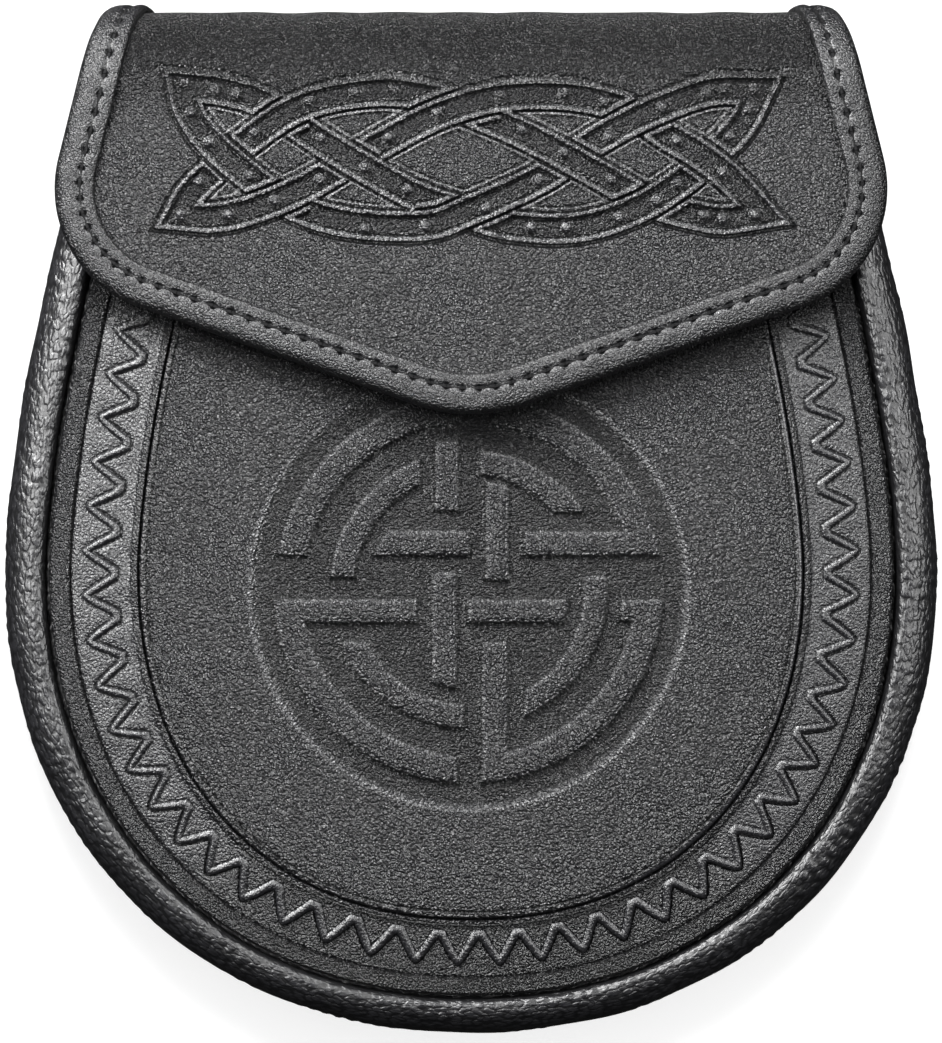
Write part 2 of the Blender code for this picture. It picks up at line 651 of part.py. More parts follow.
def belt_loop(name, x):
    """Leather strap with both ends laid flat on the back and its middle standing off it."""
    def foot_z(y):
        return back_z(y) + PANEL_BELOW_CREST - GAP

    #       y                                     height
    low, high = LOOP_BOTTOM_Y, LOOP_TOP_Y
    upper = [(low, foot_z(low)),
             (low + LOOP_FOOT, foot_z(low + LOOP_FOOT)),
             (low + LOOP_FOOT + LOOP_RAMP * 0.5, foot_z(low + LOOP_FOOT) * 0.55 + 0.9),
             (low + LOOP_FOOT + LOOP_RAMP, LOOP_WALL),
             (high - LOOP_FOOT - LOOP_RAMP, LOOP_WALL),
             (high - LOOP_FOOT - LOOP_RAMP * 0.5, foot_z(high - LOOP_FOOT) * 0.5 + 0.9),
             (high - LOOP_FOOT, foot_z(high - LOOP_FOOT)),
             (high, foot_z(high))]
    upper = np.array(upper)
    lower = offset_line(upper, LOOP_WALL)
    section = np.concatenate([upper, lower[::-1]])
    across = np.linspace(x - LOOP_WIDTH / 2.0, x + LOOP_WIDTH / 2.0, 2)
    rings = [np.column_stack([np.full(len(section), at), section]) for at in across]
    points, faces = tube(np.stack(rings))
    return solid(name, points, faces, roughness=0.45)


def snap_stud():
    """Press stud between the flap's point and the front panel."""
    at = np.array([[0.0, STUD_Y]])
    face_z = FRONT_CREST_Z - PANEL_BELOW_CREST + dome(at)[0] + FIELD_RISE + GAP
    flap_z = on_flap(at, np.array([-FLAP_WALL / 2.0]))[0, 2] - GAP
    height = flap_z - face_z
    #           radius               level
    profile = ((STUD_RADIUS, 0.0), (STUD_RADIUS, 0.32 * height), (0.6 * STUD_RADIUS, 0.45 * height),
               (0.6 * STUD_RADIUS, 0.6 * height), (STUD_RADIUS, 0.7 * height), (STUD_RADIUS, height))
    turn = np.arange(STUD_SIDES) * 2.0 * math.pi / STUD_SIDES
    rings = [np.column_stack([radius * np.cos(turn), STUD_Y + radius * np.sin(turn),
                              np.full(STUD_SIDES, face_z + level)]) for radius, level in profile]
    points, faces = tube(np.stack(rings))
    return solid("snap_stud", points, faces, GUNMETAL, 0.35, 1.0)


clear_scene()
front_panel()
gusset()
back_panel()
flap()
flap_binding()
belt_loop("belt_loop_left", -LOOP_X)
belt_loop("belt_loop_right", LOOP_X)
snap_stud()
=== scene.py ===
"""Sporran pouch: its finished look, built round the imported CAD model.

Every shape below is worked out in millimetres, in the CAD model's own frame: X across the pouch,
Y up its front to the fold of the flap, and Z out of its front. It is put into metres when its
mesh is made. The pouch lies on its back on a pale floor and the camera looks straight down on it.
"""
import math

import bmesh
import bpy
import numpy as np
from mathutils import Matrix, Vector


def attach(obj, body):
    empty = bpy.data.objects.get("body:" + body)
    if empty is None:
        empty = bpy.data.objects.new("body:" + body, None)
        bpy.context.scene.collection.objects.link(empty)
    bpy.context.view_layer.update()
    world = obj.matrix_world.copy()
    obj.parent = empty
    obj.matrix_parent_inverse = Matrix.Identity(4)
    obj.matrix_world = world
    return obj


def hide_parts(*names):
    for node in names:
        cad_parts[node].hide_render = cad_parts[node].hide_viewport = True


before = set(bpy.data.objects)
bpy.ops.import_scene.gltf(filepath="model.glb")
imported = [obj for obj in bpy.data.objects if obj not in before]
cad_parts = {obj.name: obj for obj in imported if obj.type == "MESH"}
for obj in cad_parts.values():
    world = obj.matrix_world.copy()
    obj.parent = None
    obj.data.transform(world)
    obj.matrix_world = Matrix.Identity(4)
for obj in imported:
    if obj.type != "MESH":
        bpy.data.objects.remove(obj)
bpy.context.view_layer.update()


# ---------------------------------------------------------------- border of the front
# The tooled border of the front: 2.5 mm black veg-tanned cowhide, with a coarse plain margin, a
# smooth band pressed down inside it, and a zigzag carved along the band between two knife cuts.
# It is sewn to the gusset under its outer edge.

HALF_WIDTH = 93.3            # widest half width of the pouch, at WIDEST_Y
WIDEST_Y = -10.4
DEPTH_BELOW_WIDEST = 92.6
LOWER_ROUNDNESS = 2.13       # the superellipse's exponent below WIDEST_Y
SIDE_DRAW_IN = 10.6          # a side draws in by this much at SIDE_RISE above WIDEST_Y
SIDE_RISE = 67.0
SIDE_CURVE = 1.6
BOTTOM_SQUEEZE = 0.15        # distances in from the outline are this share less at the bottom
FLAP_TOP_Y = 101.6
FRONT_TOP_Y = 74.0           # the front ends here, hidden by the flap
FACE_Z = 33.0                # the front's face at its edge, 1 mm inside the gusset's roll
FRONT_WALL = 2.5
DOME_RISE = 4.0
DOME_INSET = 9.6             # the dome starts this far in from the outline,
DOME_WIDTH = 60.0            # and is at its full rise this much further in


def ease(share):
    """0 below 0, 1 above 1 and a soft S between them: share squared times (3 - 2 share)."""
    share = np.clip(share, 0.0, 1.0)
    return share * share * (3.0 - 2.0 * share)


def distance_along(points):
    """The way walked along a polyline, at each of its points."""
    return np.concatenate([[0.0], np.cumsum(np.hypot(*np.diff(points, axis=0).T))])


def at_distance(wanted, along, values):
    """Rows of values, known at the distances along, read off at the wanted distances."""
    return np.column_stack([np.interp(wanted, along, column) for column in values.T])


def resample(points, count):
    """Points at even distances along a polyline."""
    along = distance_along(points)
    return at_distance(np.linspace(0.0, along[-1], count), along, points)


def unit(vectors):
    """The same directions with length 1."""
    return vectors / np.linalg.norm(vectors, axis=-1, keepdims=True)


def right_hand(points):
    """Unit normals on the right-hand side of a line that is followed from its first point."""
    run = unit(np.gradient(points, axis=0))
    return np.column_stack([run[:, 1], -run[:, 0]])


def facing_down(normals):
    """1 where a normal points straight down the pouch, and 0 where it is level or points up."""
    return np.clip(-normals[:, 1], 0.0, 1.0)


def pouch_outline(top_y, count):
    """Outline from the left end at top_y, round the bottom, to the right, and its normals.

    Below its widest level it is a superellipse, and above it each side draws in by
    SIDE_DRAW_IN times (height / SIDE_RISE) to the power SIDE_CURVE.
    """
    side_y = np.linspace(top_y, WIDEST_Y, 120)
    side_x = HALF_WIDTH - SIDE_DRAW_IN * ((side_y - WIDEST_Y) / SIDE_RISE) ** SIDE_CURVE
    turn = np.linspace(0.0, math.pi / 2, 240)[1:]
    low_x = HALF_WIDTH * np.abs(np.cos(turn)) ** (2.0 / LOWER_ROUNDNESS)
    low_y = WIDEST_Y - DEPTH_BELOW_WIDEST * np.sin(turn) ** (2.0 / LOWER_ROUNDNESS)
    right = np.column_stack([np.concatenate([side_x, low_x]), np.concatenate([side_y, low_y])])
    points = resample(np.concatenate([right * (-1.0, 1.0), right[-2::-1]]), count)
    return points, right_hand(points)


def inset(outline, distance):
    """The outline moved in by distance (1 - BOTTOM_SQUEEZE down**2), so less at the bottom."""
    points, normals = outline
    down = facing_down(normals)
    return points - normals * (distance * (1.0 - BOTTOM_SQUEEZE * down * down))[:, None]


def dome(xy):
    """Rise of the front's face: DOME_RISE (1 - (1 - q)**2), q from 0 at its edge to 1 inside."""
    edge = pouch_outline(FLAP_TOP_Y, 400)[0]
    apart = np.concatenate([np.linalg.norm(some[:, None] - edge, axis=2).min(axis=1)
                            for some in np.array_split(xy, 1 + len(xy) // 20000)])
    share = np.clip((apart - DOME_INSET) / DOME_WIDTH, 0.0, 1.0)
    return DOME_RISE * (1.0 - (1.0 - share) ** 2)


POINT_RADIUS = 34.0          # the flap's rounded point, and its level and slope
POINT_Y = 20.6
POINT_SLOPE = math.radians(19.5)
FLAP_SHADOW_REACH = 8.0               # the flap's painted shadow reaches this far below its edge


def painted_shadow_below_flap(xy, smooth, stipple, dye):
    """The three measures, changed under the flap and less and less below its edge: the flap's
    painted shadow.

    The edge is taken as level from the middle to where its slope starts, and then rises by the
    slope's tangent. The shadow is the soft step that rises from its reach below the edge to the
    edge itself, to the power 1.5: there the grain stands high and the ground is matt, and dye
    with painted shade is raised to it.
    """
    rise = np.maximum(np.abs(xy[..., 0]) - POINT_RADIUS * math.sin(POINT_SLOPE) / 2.0, 0.0)
    below = (POINT_Y + rise * math.tan(POINT_SLOPE) - xy[..., 1]) * math.cos(POINT_SLOPE)
    painted_shadow = ease(1.0 - below / FLAP_SHADOW_REACH) ** 1.5
    return smooth - 0.8 * painted_shadow, np.maximum(stipple, 0.45 * painted_shadow), np.maximum(dye, painted_shadow)


def ripple(points, wavelength, seed, waves=28):
    """Soft unevenness of about unit size: many cosine waves of one length, in all directions."""
    pick = np.random.default_rng(seed)
    heading = pick.normal(size=(points.shape[1], waves))
    heading *= 2.0 * math.pi / wavelength / np.linalg.norm(heading, axis=0)
    phase = pick.uniform(0.0, 2.0 * math.pi, waves)
    return np.cos(points @ heading + phase).sum(axis=1) * math.sqrt(2.0 / waves)


def grid_faces(rows, columns, start=0):
    """The four corners of each cell of a grid of points that runs row by row."""
    at = start + np.arange(rows * columns).reshape(rows, columns)
    cells = np.stack([at[:-1, :-1], at[:-1, 1:], at[1:, 1:], at[1:, :-1]], axis=-1)
    return cells.reshape(-1, 4).tolist()


def rim_faces(fine, coarse):
    """Polygons between a loop of points and a coarser one: each spans as many as it must."""
    step = (len(fine) - 1) // (len(coarse) - 1)
    return [[*fine[i * step:(i + 1) * step + 1], coarse[i + 1], coarse[i]]
            for i in range(len(coarse) - 1)]


def wall_of_leather(front, back, row_step):
    """Points and faces of a closed sheet: a fine front, a coarse back and a plain rim.

    front is a grid of points, and back the same grid moved through the leather's thickness, of
    which only every row_step-th row and every fourth column is kept.
    """
    rows, columns = front.shape[:2]
    kept = back[::row_step, ::4]
    fine = np.arange(rows * columns).reshape(rows, columns)
    coarse = rows * columns + np.arange(kept.shape[0] * kept.shape[1]).reshape(kept.shape[:2])
    faces = grid_faces(rows, columns) + grid_faces(*kept.shape[:2], start=rows * columns)
    for edge in (np.s_[0, :], np.s_[-1, :], np.s_[:, 0], np.s_[:, -1]):
        faces += rim_faces(fine[edge].tolist(), coarse[edge].tolist())
    return np.concatenate([front.reshape(-1, 3), kept.reshape(-1, 3)]), faces


SHARP_ANGLE = math.radians(50.0)     # two faces that meet at more than this show a crease


def make_piece(name, points, faces, material, slot, lay=None, **measures):
    """Weld the points, turn the faces out, and link the piece, which rides on the pouch.

    points are in millimetres. lay is where each point was on the flat hide, in millimetres, so
    that the grain follows the leather round its bends. Each of measures is a value for every
    point too, kept as an attribute that the material reads. The last points, of the hidden
    inside, may lack them and then get 0.
    """
    mesh = bpy.data.meshes.new(name)
    mesh.from_pydata((np.asarray(points) * 0.001).tolist(), [], faces)
    if lay is None:
        lay = np.asarray(points)[:, :2]
    flat_lay = np.zeros((len(points), 3))
    flat_lay[:len(lay), :2] = lay
    mesh.attributes.new("lay", "FLOAT_VECTOR", "POINT").data.foreach_set("vector", flat_lay.ravel())
    for label, values in measures.items():
        padded = np.zeros(len(points))
        padded[:values.size] = values.ravel()
        mesh.attributes.new(label, "FLOAT", "POINT").data.foreach_set("value", padded)
    welded = bmesh.new()
    welded.from_mesh(mesh)
    bmesh.ops.remove_doubles(welded, verts=welded.verts, dist=2e-6)
    bmesh.ops.recalc_face_normals(welded, faces=welded.faces)
    welded.to_mesh(mesh)
    welded.free()
    mesh.shade_smooth()
    mesh.set_sharp_from_angle(angle=SHARP_ANGLE)
    mesh.materials.append(material)
    piece = bpy.data.objects.new(name, mesh)
    bpy.context.collection.objects.link(piece)
    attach(piece, "root")
    return piece


def colour(code):
    """A colour given as sRGB hex, as linear red, green, blue and a 1 for alpha."""
    parts = [int(code[i:i + 2], 16) / 255.0 for i in (0, 2, 4)]
    return [p / 12.92 if p <= 0.04045 else ((p + 0.055) / 1.055) ** 2.4 for p in parts] + [1.0]


def new_material(name, **values):
    """A material and its shader. values are for its constant sockets, with _ for a space."""
    material = bpy.data.materials.new(name)
    material.use_nodes = True
    shader = material.node_tree.nodes["Principled BSDF"]
    for socket, value in values.items():
        shader.inputs[socket.replace("_", " ")].default_value = value
    return material, shader


def add_node(material, kind, inputs=(), **settings):
    """Add a shader node: its settings, then each input's value or the socket linked to it."""
    tree = material.node_tree
    node = tree.nodes.new("ShaderNode" + kind)
    for key, value in settings.items():
        setattr(node, key, value)
    for key, value in dict(inputs).items():
        if isinstance(value, bpy.types.NodeSocket):
            tree.links.new(value, node.inputs[key])
        else:
            node.inputs[key].default_value = value
    return node


def leather(name, grain, depth, roughness, light="1a1a1c", dark="050506", stretch=(1.0, 1.0),
            fine=0.5):
    """Black leather whose pebbles are that many millimetres across and whose creases that deep.

    A hide's grain is a web of creases round small pebbles: the cells of a Voronoi pattern, bent
    by a slow noise so that they run into short worms, with a finer noise on their tops. The
    material reads four attributes: lay, the place on the flat hide; smooth, 1 where the grain
    has been pressed flat and polished, and below 0 where it stands higher; stipple, 1 where the
    ground is matted with a fine punch; and the dye measure, 1 in cuts and hollows, where dye
    gathers and no cloth polishes, and also where shade is painted in, in cuts, holes, gaps and
    places that lie in shadow. Those places have the dark colour, as dye and painted shade, and
    polished ones the light, glossier one.
    """
    material, shader = new_material(name, IOR=1.5)
    tree = material.node_tree

    def measure(label, kind="Fac"):
        return add_node(material, "Attribute", attribute_name=label).outputs[kind]

    def noise(place, scale, detail):
        return add_node(material, "TexNoise", {"Vector": place, "Scale": scale, "Detail": detail},
                        noise_dimensions="2D").outputs

    def reckon(operation, *terms, **settings):
        return add_node(material, "Math", dict(enumerate(terms)), operation=operation,
                        **settings).outputs["Value"]

    lay = measure("lay", "Vector")
    smooth, stipple, dye = measure("smooth"), measure("stipple"), measure("dye")
    sized = add_node(material, "VectorMath", {0: lay, 1: (*stretch, 1.0)},
                     operation="MULTIPLY").outputs["Vector"]
    swayed = add_node(material, "VectorMath", {0: noise(sized, 0.7 / grain, 1.0)["Color"],
                                               1: (1.1 * grain,) * 3, 2: sized},
                      operation="MULTIPLY_ADD").outputs["Vector"]
    cells = add_node(material, "TexVoronoi", {"Vector": swayed, "Scale": 1.0 / grain},
                     voronoi_dimensions="2D").outputs["Distance"]
    pebbles = add_node(material, "MapRange", {"Value": cells, "From Min": 0.2, "From Max": 0.68,
                                              "To Min": 1.0, "To Max": 0.0},
                       interpolation_type="SMOOTHSTEP").outputs["Result"]
    tops = noise(sized, 1.9 / grain, 1.0)["Fac"]
    punch = noise(lay, 1.0 / 0.35, 0.0)["Fac"]                # blows about 0.35 mm apart
    hide = noise(lay, 0.06, 3.0)["Fac"]
    webbed = reckon("MULTIPLY_ADD", tops, 2.0 * fine, pebbles)
    grained = reckon("MULTIPLY", webbed, reckon("SUBTRACT", 1.0, smooth))
    height = reckon("MULTIPLY_ADD", punch, reckon("MULTIPLY", stipple, 3.0), grained)
    wear_and_sheen = reckon("MULTIPLY", pebbles, hide)
    pressed = reckon("MULTIPLY_ADD", reckon("MAXIMUM", smooth, 0.0), 0.4, wear_and_sheen)
    polish = reckon("SUBTRACT", pressed, dye, use_clamp=True)
    tint = add_node(material, "Mix", {"Factor": polish}, data_type="RGBA")
    tint.inputs["A"].default_value, tint.inputs["B"].default_value = colour(dark), colour(light)
    gloss = add_node(material, "MapRange", {"Value": polish, "To Min": roughness + 0.07,
                                            "To Max": roughness - 0.06})
    bump = add_node(material, "Bump", {"Height": height, "Distance": depth * 0.001})
    tree.links.new(tint.outputs["Result"], shader.inputs["Base Color"])
    tree.links.new(gloss.outputs["Result"], shader.inputs["Roughness"])
    tree.links.new(bump.outputs["Normal"], shader.inputs["Normal"])
    return material


# The carver's spacing: number of a zigzag point, and its place along the band's middle line.
ZIGZAG_COUNT = (-3.75, 0.0, 9.0, 14.0, 18.0, 23.0, 27.0, 31.0, 36.0, 39.0, 43.0)
ZIGZAG_PLACE = (0.0, 32.9, 112.4, 153.8, 189.5, 230.4, 265.0, 297.4, 341.0, 366.3, 400.5)
ZIGZAG_PITCH = 8.6
ZIGZAG_MIDDLE = 19.4         # from the outline, and this much less at the bottom:
ZIGZAG_LOW = 2.1
ZIGZAG_REACH = 2.75          # half the zigzag's height, and this much less at the bottom:
REACH_LOW = 0.25
ZIGZAG_FLAT = 0.42           # share of a tooth at which its slope meets the flat inner corner
CORNER_ROUND = 0.7           # radius of the ridge's middle line at a tooth's point
COLUMNS_PER_TOOTH = 16
#                   in      relief     from the panel's edge to the band
BORDER_OUTSIDE = ((9.05, -0.9), (9.1, -0.5), (9.3, -0.2), (9.65, -0.02), (10.6, 0.08),
                  (11.8, 0.1), (12.6, 0.08), (12.9, -0.02), (13.15, -0.4), (13.4, -0.95),
                  (13.7, -0.66), (14.1, -0.55))
#                 off the zigzag's middle, relief over the band: knife cut, ridge, knife cut
ZIGZAG_RIDGE = ((1.45, 0.0), (1.3, -0.1), (1.12, -0.4), (0.9, -0.6), (0.65, 0.2),
                (0.3, 0.42), (-0.3, 0.42), (-0.65, 0.2), (-0.9, -0.6), (-1.12, -0.4),
                (-1.3, -0.1), (-1.45, 0.0))
# The carver holds the knife aslant, so a cut is deepest on the side of a form that faces this way.
UNDERCUT_SIDE = np.array((0.2, -0.98))
BORDER_INSIDE = ((25.25, -0.58), (25.5, -0.4), (25.8, -0.12), (26.3, 0.05),
                 (26.65, 0.08), (26.8, -0.15), (26.9, -0.7), (27.1, -0.9))
BAND_LEVEL = -0.55


def place_rows(outline, middle, count):
    """The border's grid: for each row, its distances in from the outline and its relief.

    Outside and inside the zigzag the rows keep to the outline. Across it they follow it: a row
    that is d off its middle line is at the greater of flat + d and peak + d k - m |s|, where s is
    the way from the tooth's point, m the steepness and k = sqrt(1 + m**2), so that the ridge has
    one width all along. |s| is rounded to sqrt(s**2 + a**2), with a = (radius + d) (k - 1) / m,
    which turns each row round the tooth's point at its own radius.
    """
    down = facing_down(outline[1]) ** 2
    squeeze = 1.0 - BOTTOM_SQUEEZE * down
    inner_reach = ZIGZAG_REACH - REACH_LOW * down
    steep = (2.0 * inner_reach + 1.0) / (ZIGZAG_FLAT * ZIGZAG_PITCH)
    stretch = np.sqrt(1.0 + steep ** 2)
    from_point = np.abs(count - np.round(count)) * ZIGZAG_PITCH
    outer, inner = ([(at * squeeze, relief) for at, relief in table]
                    for table in (BORDER_OUTSIDE, BORDER_INSIDE))
    ridge = []
    for off, relief in ZIGZAG_RIDGE:
        rounding = np.clip(CORNER_ROUND + off, 0.0, None) * (stretch - 1.0) / steep
        slope = (inner_reach + 1.0 + off * stretch
                 - steep * np.sqrt(from_point ** 2 + rounding ** 2))
        ridge.append((middle - np.maximum(off - inner_reach, slope), BAND_LEVEL + relief))
    band = [[(start * (1.0 - share) + end * share, BAND_LEVEL) for share in (0.33, 0.66)]
            for start, end in ((outer[-1][0], ridge[0][0]), (ridge[-1][0], inner[0][0]))]
    return [*outer, *band[0], *ridge, *band[1], *inner]


outline = pouch_outline(FRONT_TOP_Y, 6000)
middle_inset = ZIGZAG_MIDDLE - ZIGZAG_LOW * facing_down(outline[1]) ** 2
along = distance_along(outline[0] - outline[1] * middle_inset[:, None])
teeth = np.linspace(ZIGZAG_COUNT[0], ZIGZAG_COUNT[-1],
                    1 + round(COLUMNS_PER_TOOTH * (ZIGZAG_COUNT[-1] - ZIGZAG_COUNT[0])))
# Columns close up to each tooth's point, and one lies where the slope meets the flat.
off_point = teeth - np.round(teeth)
closed_up = np.interp(np.abs(off_point), np.array((0, 1, 2, 6, 7, 8)) / COLUMNS_PER_TOOTH,
                      (0.0, 0.04, 0.09, 0.37, ZIGZAG_FLAT, 0.5))
teeth = np.round(teeth) + np.sign(off_point) * closed_up
station = np.interp(teeth, ZIGZAG_COUNT, np.array(ZIGZAG_PLACE) * along[-1] / ZIGZAG_PLACE[-1])
station[[0, -1]] = 0.0, along[-1]
columns = at_distance(station, along, outline[0])
column_normals = unit(at_distance(station, along, outline[1]))
rows = place_rows((columns, column_normals), np.interp(station, along, middle_inset), teeth)
border_xy = np.stack([columns - column_normals * at[:, None] for at, _ in rows])
relief = np.repeat(np.array([level for _, level in rows])[:, None], len(columns), axis=1)
first_ridge = len(BORDER_OUTSIDE) + 2
first_inner = first_ridge + len(ZIGZAG_RIDGE) + 2
outer_rows, top_rows, inner_rows = (slice(first_ridge + first, first_ridge + last)
                                    for first, last in ((1, 4), (4, 8), (8, 11)))
across = unit(border_xy[first_ridge] - border_xy[first_ridge + len(ZIGZAG_RIDGE) - 1])
facing = np.clip(across @ UNDERCUT_SIDE, -1.0, 1.0)
# Round the bottom the cuts are shallower and the ground is matted, and it is darker there as
# painted shade.
low = ease((facing_down(column_normals) - 0.7) / 0.25)
outer_cut = (0.5 + 0.5 * facing) ** 1.4 * (1.0 - 0.45 * low)
inner_cut = (0.5 - 0.5 * facing) ** 1.4
for cut_rows, cut in ((outer_rows, outer_cut), (inner_rows, inner_cut)):
    relief[cut_rows] = BAND_LEVEL + (relief[cut_rows] - BAND_LEVEL) * (0.12 + 0.88 * cut)
flat_xy = border_xy.reshape(-1, 2)
face_z = FACE_Z + dome(flat_xy)
uneven = 0.06 * ripple(flat_xy, 9.0, 3)
front, back = (np.concatenate([border_xy, z.reshape(len(rows), -1, 1)], axis=2)
               for z in (face_z + relief.ravel() + uneven, face_z - FRONT_WALL))
points, faces = wall_of_leather(front, back, 7)

smooth = np.zeros(relief.shape)
smooth[:3] = 0.5
smooth[3:8] = -0.3                                         # the margin's grain stands higher
smooth[9:first_inner + 1] = 0.65
smooth[top_rows] = 0.8
smooth[first_inner + 1:] = 0.2
ground = np.tile(low, (len(rows), 1))
ground[:3] = ground[first_ridge + 3:first_ridge + 9] = ground[first_inner + 2:] = 0.0
smooth -= ground
stipple = 0.45 * ground
# Dye and painted shade: darker round the bottom, in the gap at the panel's edge, in the groove
# between margin and band, in the knife cuts, most on their undercut side, and on the inner strip,
# most at the field's cut.
dye = 0.9 * ground
dye[:3] = ((1.0,), (0.7,), (0.4,))
dye[8:11] = ((0.6,), (1.0,), (0.3,))
dye[outer_rows] = np.array(((0.5,), (1.0,), (1.0,))) * outer_cut
dye[inner_rows] = np.array(((1.0,), (1.0,), (0.5,))) * inner_cut
dye[first_inner + 1:] += 0.15
dye[-3:] = ((0.8,), (1.0,), (1.0,))
# The flap's painted shadow on the border, below its edge.
smooth, stipple, dye = painted_shadow_below_flap(border_xy, smooth, stipple, dye)

border_leather = leather("waxed cowhide, band pressed smooth", grain=0.56, depth=0.28,
                         roughness=0.28)
border = make_piece("front_border", points, faces, border_leather, "tooled_leather",
                    smooth=smooth, stipple=stipple, dye=dye)


# ---------------------------------------------------------------- field of the front
# The field inside the border is the same cowhide, left at its full height with a knife cut round
# it. A round recess is pressed into it, and the bars of a circle knot stand in the recess, their
# edges bevelled by hand.

KNOT_MIDDLE = np.array((-0.5, -14.2))
RECESS_RADIUS = 43.8
FIELD_RISE = 0.4
FIELD_EDGE = 27.15           # in from the outline
KNOT_REACH = 40.0            # no bar reaches further from the knot's middle
WIDE = 99.0                  # no limit
#             r from, to, x from, to, y from, to
KNOT_BARS = ((33.0, 38.8, -WIDE, -3.0, 6.6, WIDE),
             (33.0, 38.8, 5.0, WIDE, 6.6, WIDE),
             (0.0, 38.8, 11.0, WIDE, 6.6, 11.7),
             (33.0, 38.8, -WIDE, -2.2, -WIDE, -1.8),
             (0.0, 38.8, -WIDE, -10.1, -6.8, -1.8),
             (33.0, 38.8, 2.6, WIDE, -WIDE, -1.9),
             (0.0, 38.8, 30.1, WIDE, -6.4, -1.9),
             (0.0, 38.8, 2.6, 7.9, -WIDE, -10.3),
             (22.8, 27.8, -WIDE, -9.5, 2.3, WIDE),
             (22.8, 27.8, 2.2, WIDE, 15.2, WIDE),
             (22.8, 27.8, 11.1, WIDE, -WIDE, 2.9),
             (22.8, 27.8, -WIDE, -0.7, -WIDE, -10.3),
             (0.0, WIDE, -6.7, -1.9, 15.5, 29.6),
             (0.0, 20.0, -7.3, -2.2, -WIDE, 3.5),
             (0.0, 21.9, 3.4, 8.1, 1.7, WIDE),
             (0.0, 20.1, -WIDE, 0.4, 6.6, 11.8),
             (0.0, 20.1, -0.2, WIDE, -6.7, -1.9))


def bar_depth(x, y):
    """How far inside a knot bar a place is, in mm, and below 0 outside all of them.

    A bar is where its circles' and lines' limits are all met, so its depth is the least distance
    to a limit. The bars together take the greatest depth.
    """
    r = np.hypot(x, y)
    return np.max([np.min([r - r0, r1 - r, x - x0, x1 - x, y - y0, y1 - y], axis=0)
                   for r0, r1, x0, x1, y0, y1 in KNOT_BARS], axis=0)


def bar_slope(x, y, tiny=0.02):
    """How a place's depth in a bar grows along x and along y."""
    return ((bar_depth(x + tiny, y) - bar_depth(x - tiny, y)) / (2.0 * tiny),
            (bar_depth(x, y + tiny) - bar_depth(x, y - tiny)) / (2.0 * tiny))


#            the knife's cut: its far edge and bottom, then the bar's wall, rounded edge and top
BAR_DEPTH = (-0.8, -0.3, 0.05, 0.35, 0.8, 1.4, 2.0)
BAR_LEVEL = (0.0, -0.04, 0.1, 0.6, 0.78, 0.87, 0.88)
KNIFE_CUT = (0.0, -0.6, -0.3, 0.0, 0.0, 0.0, 0.0)
RECESS_DEPTH = 0.85
#                   off the recess's radius, level
RECESS_WALL = ((-1.6, -RECESS_DEPTH), (-1.3, -0.8), (-0.45, -0.16), (-0.2, -0.04), (0.0, 0.04),
               (0.3, 0.0), (1.0, 0.0))


# The field's rim, a creased line and a rounded edge: in from the edge, level, smooth, and dye with
# painted shade, darkest in the crease and at the cut.
RIM = ((1.4, -0.35, 0.0, 1.0), (1.1, 0.02, 0.2, 0.4), (0.75, 0.05, 0.5, 0.4),
       (0.4, 0.02, 0.5, 0.4), (0.12, -0.22, 0.5, 0.6), (0.0, -1.2, 0.5, 1.0))
RING_SHARES = (0.0, 0.04, 0.12, 0.22, 0.34, 0.46, 0.58, 0.7, 0.81, 0.9, 0.96, 1.0)


def field_grid(size):
    """Grid of size x size cells pressed into a disc, and rings out to the field's own edge.

    A square's u, v go to a disc as u sqrt(1 - v**2 / 2), v sqrt(1 - u**2 / 2). The rings share
    out the way from the disc's edge to the rim along rays from the knot's middle.
    """
    line = np.linspace(-1.0, 1.0, size + 1)
    u, v = np.meshgrid(line, line)
    disc = np.stack([u * np.sqrt(1.0 - v * v / 2.0), v * np.sqrt(1.0 - u * u / 2.0)], axis=2)
    disc *= RECESS_RADIUS + 0.8
    circle = np.concatenate([disc[0, :-1], disc[:-1, -1], disc[-1, :0:-1], disc[:0:-1, 0],
                             disc[0, :1]])
    turn = np.unwrap(np.arctan2(circle[:, 1], circle[:, 0]))
    shape = inset(pouch_outline(FRONT_TOP_Y, 1200), FIELD_EDGE) - KNOT_MIDDLE
    shape = np.concatenate([shape, np.linspace(shape[-1], shape[0], 80)[1:-1]])
    bearing = np.unwrap(np.arctan2(shape[:, 1], shape[:, 0]))
    bearing = np.concatenate([bearing - 2 * math.pi, bearing, bearing + 2 * math.pi])
    reach = np.interp(turn, bearing, np.tile(np.hypot(*shape.T), 3))
    radius = np.hypot(*circle.T)
    out = [radius + (reach - 1.7 - radius) * share for share in RING_SHARES]
    out += [reach - inside for inside, *_ in RIM]
    return disc, np.stack([unit(circle) * ring[:, None] for ring in out])


def snap_to_lines(xy, lines, reach):
    """Moves grid points that are within reach of a bar's cut or crest onto it, by its slope."""
    depth = bar_depth(xy[..., 0], xy[..., 1])
    slope_x, slope_y = bar_slope(xy[..., 0], xy[..., 1])
    short = np.zeros_like(depth)
    for line in lines:
        short = np.where(np.abs(depth - line) < reach, line - depth, short)
    return xy + np.stack([slope_x * short, slope_y * short], axis=-1)


def snap_to_circles(xy, radii, reach):
    """Moves points that are within reach of one of the circles onto it, along its radius."""
    r = np.hypot(xy[..., 0], xy[..., 1])
    wanted = r.copy()
    for radius in radii:
        wanted = np.where(np.abs(r - radius) < reach, radius, wanted)
    return xy * (wanted / np.maximum(r, 1.0))[..., None]


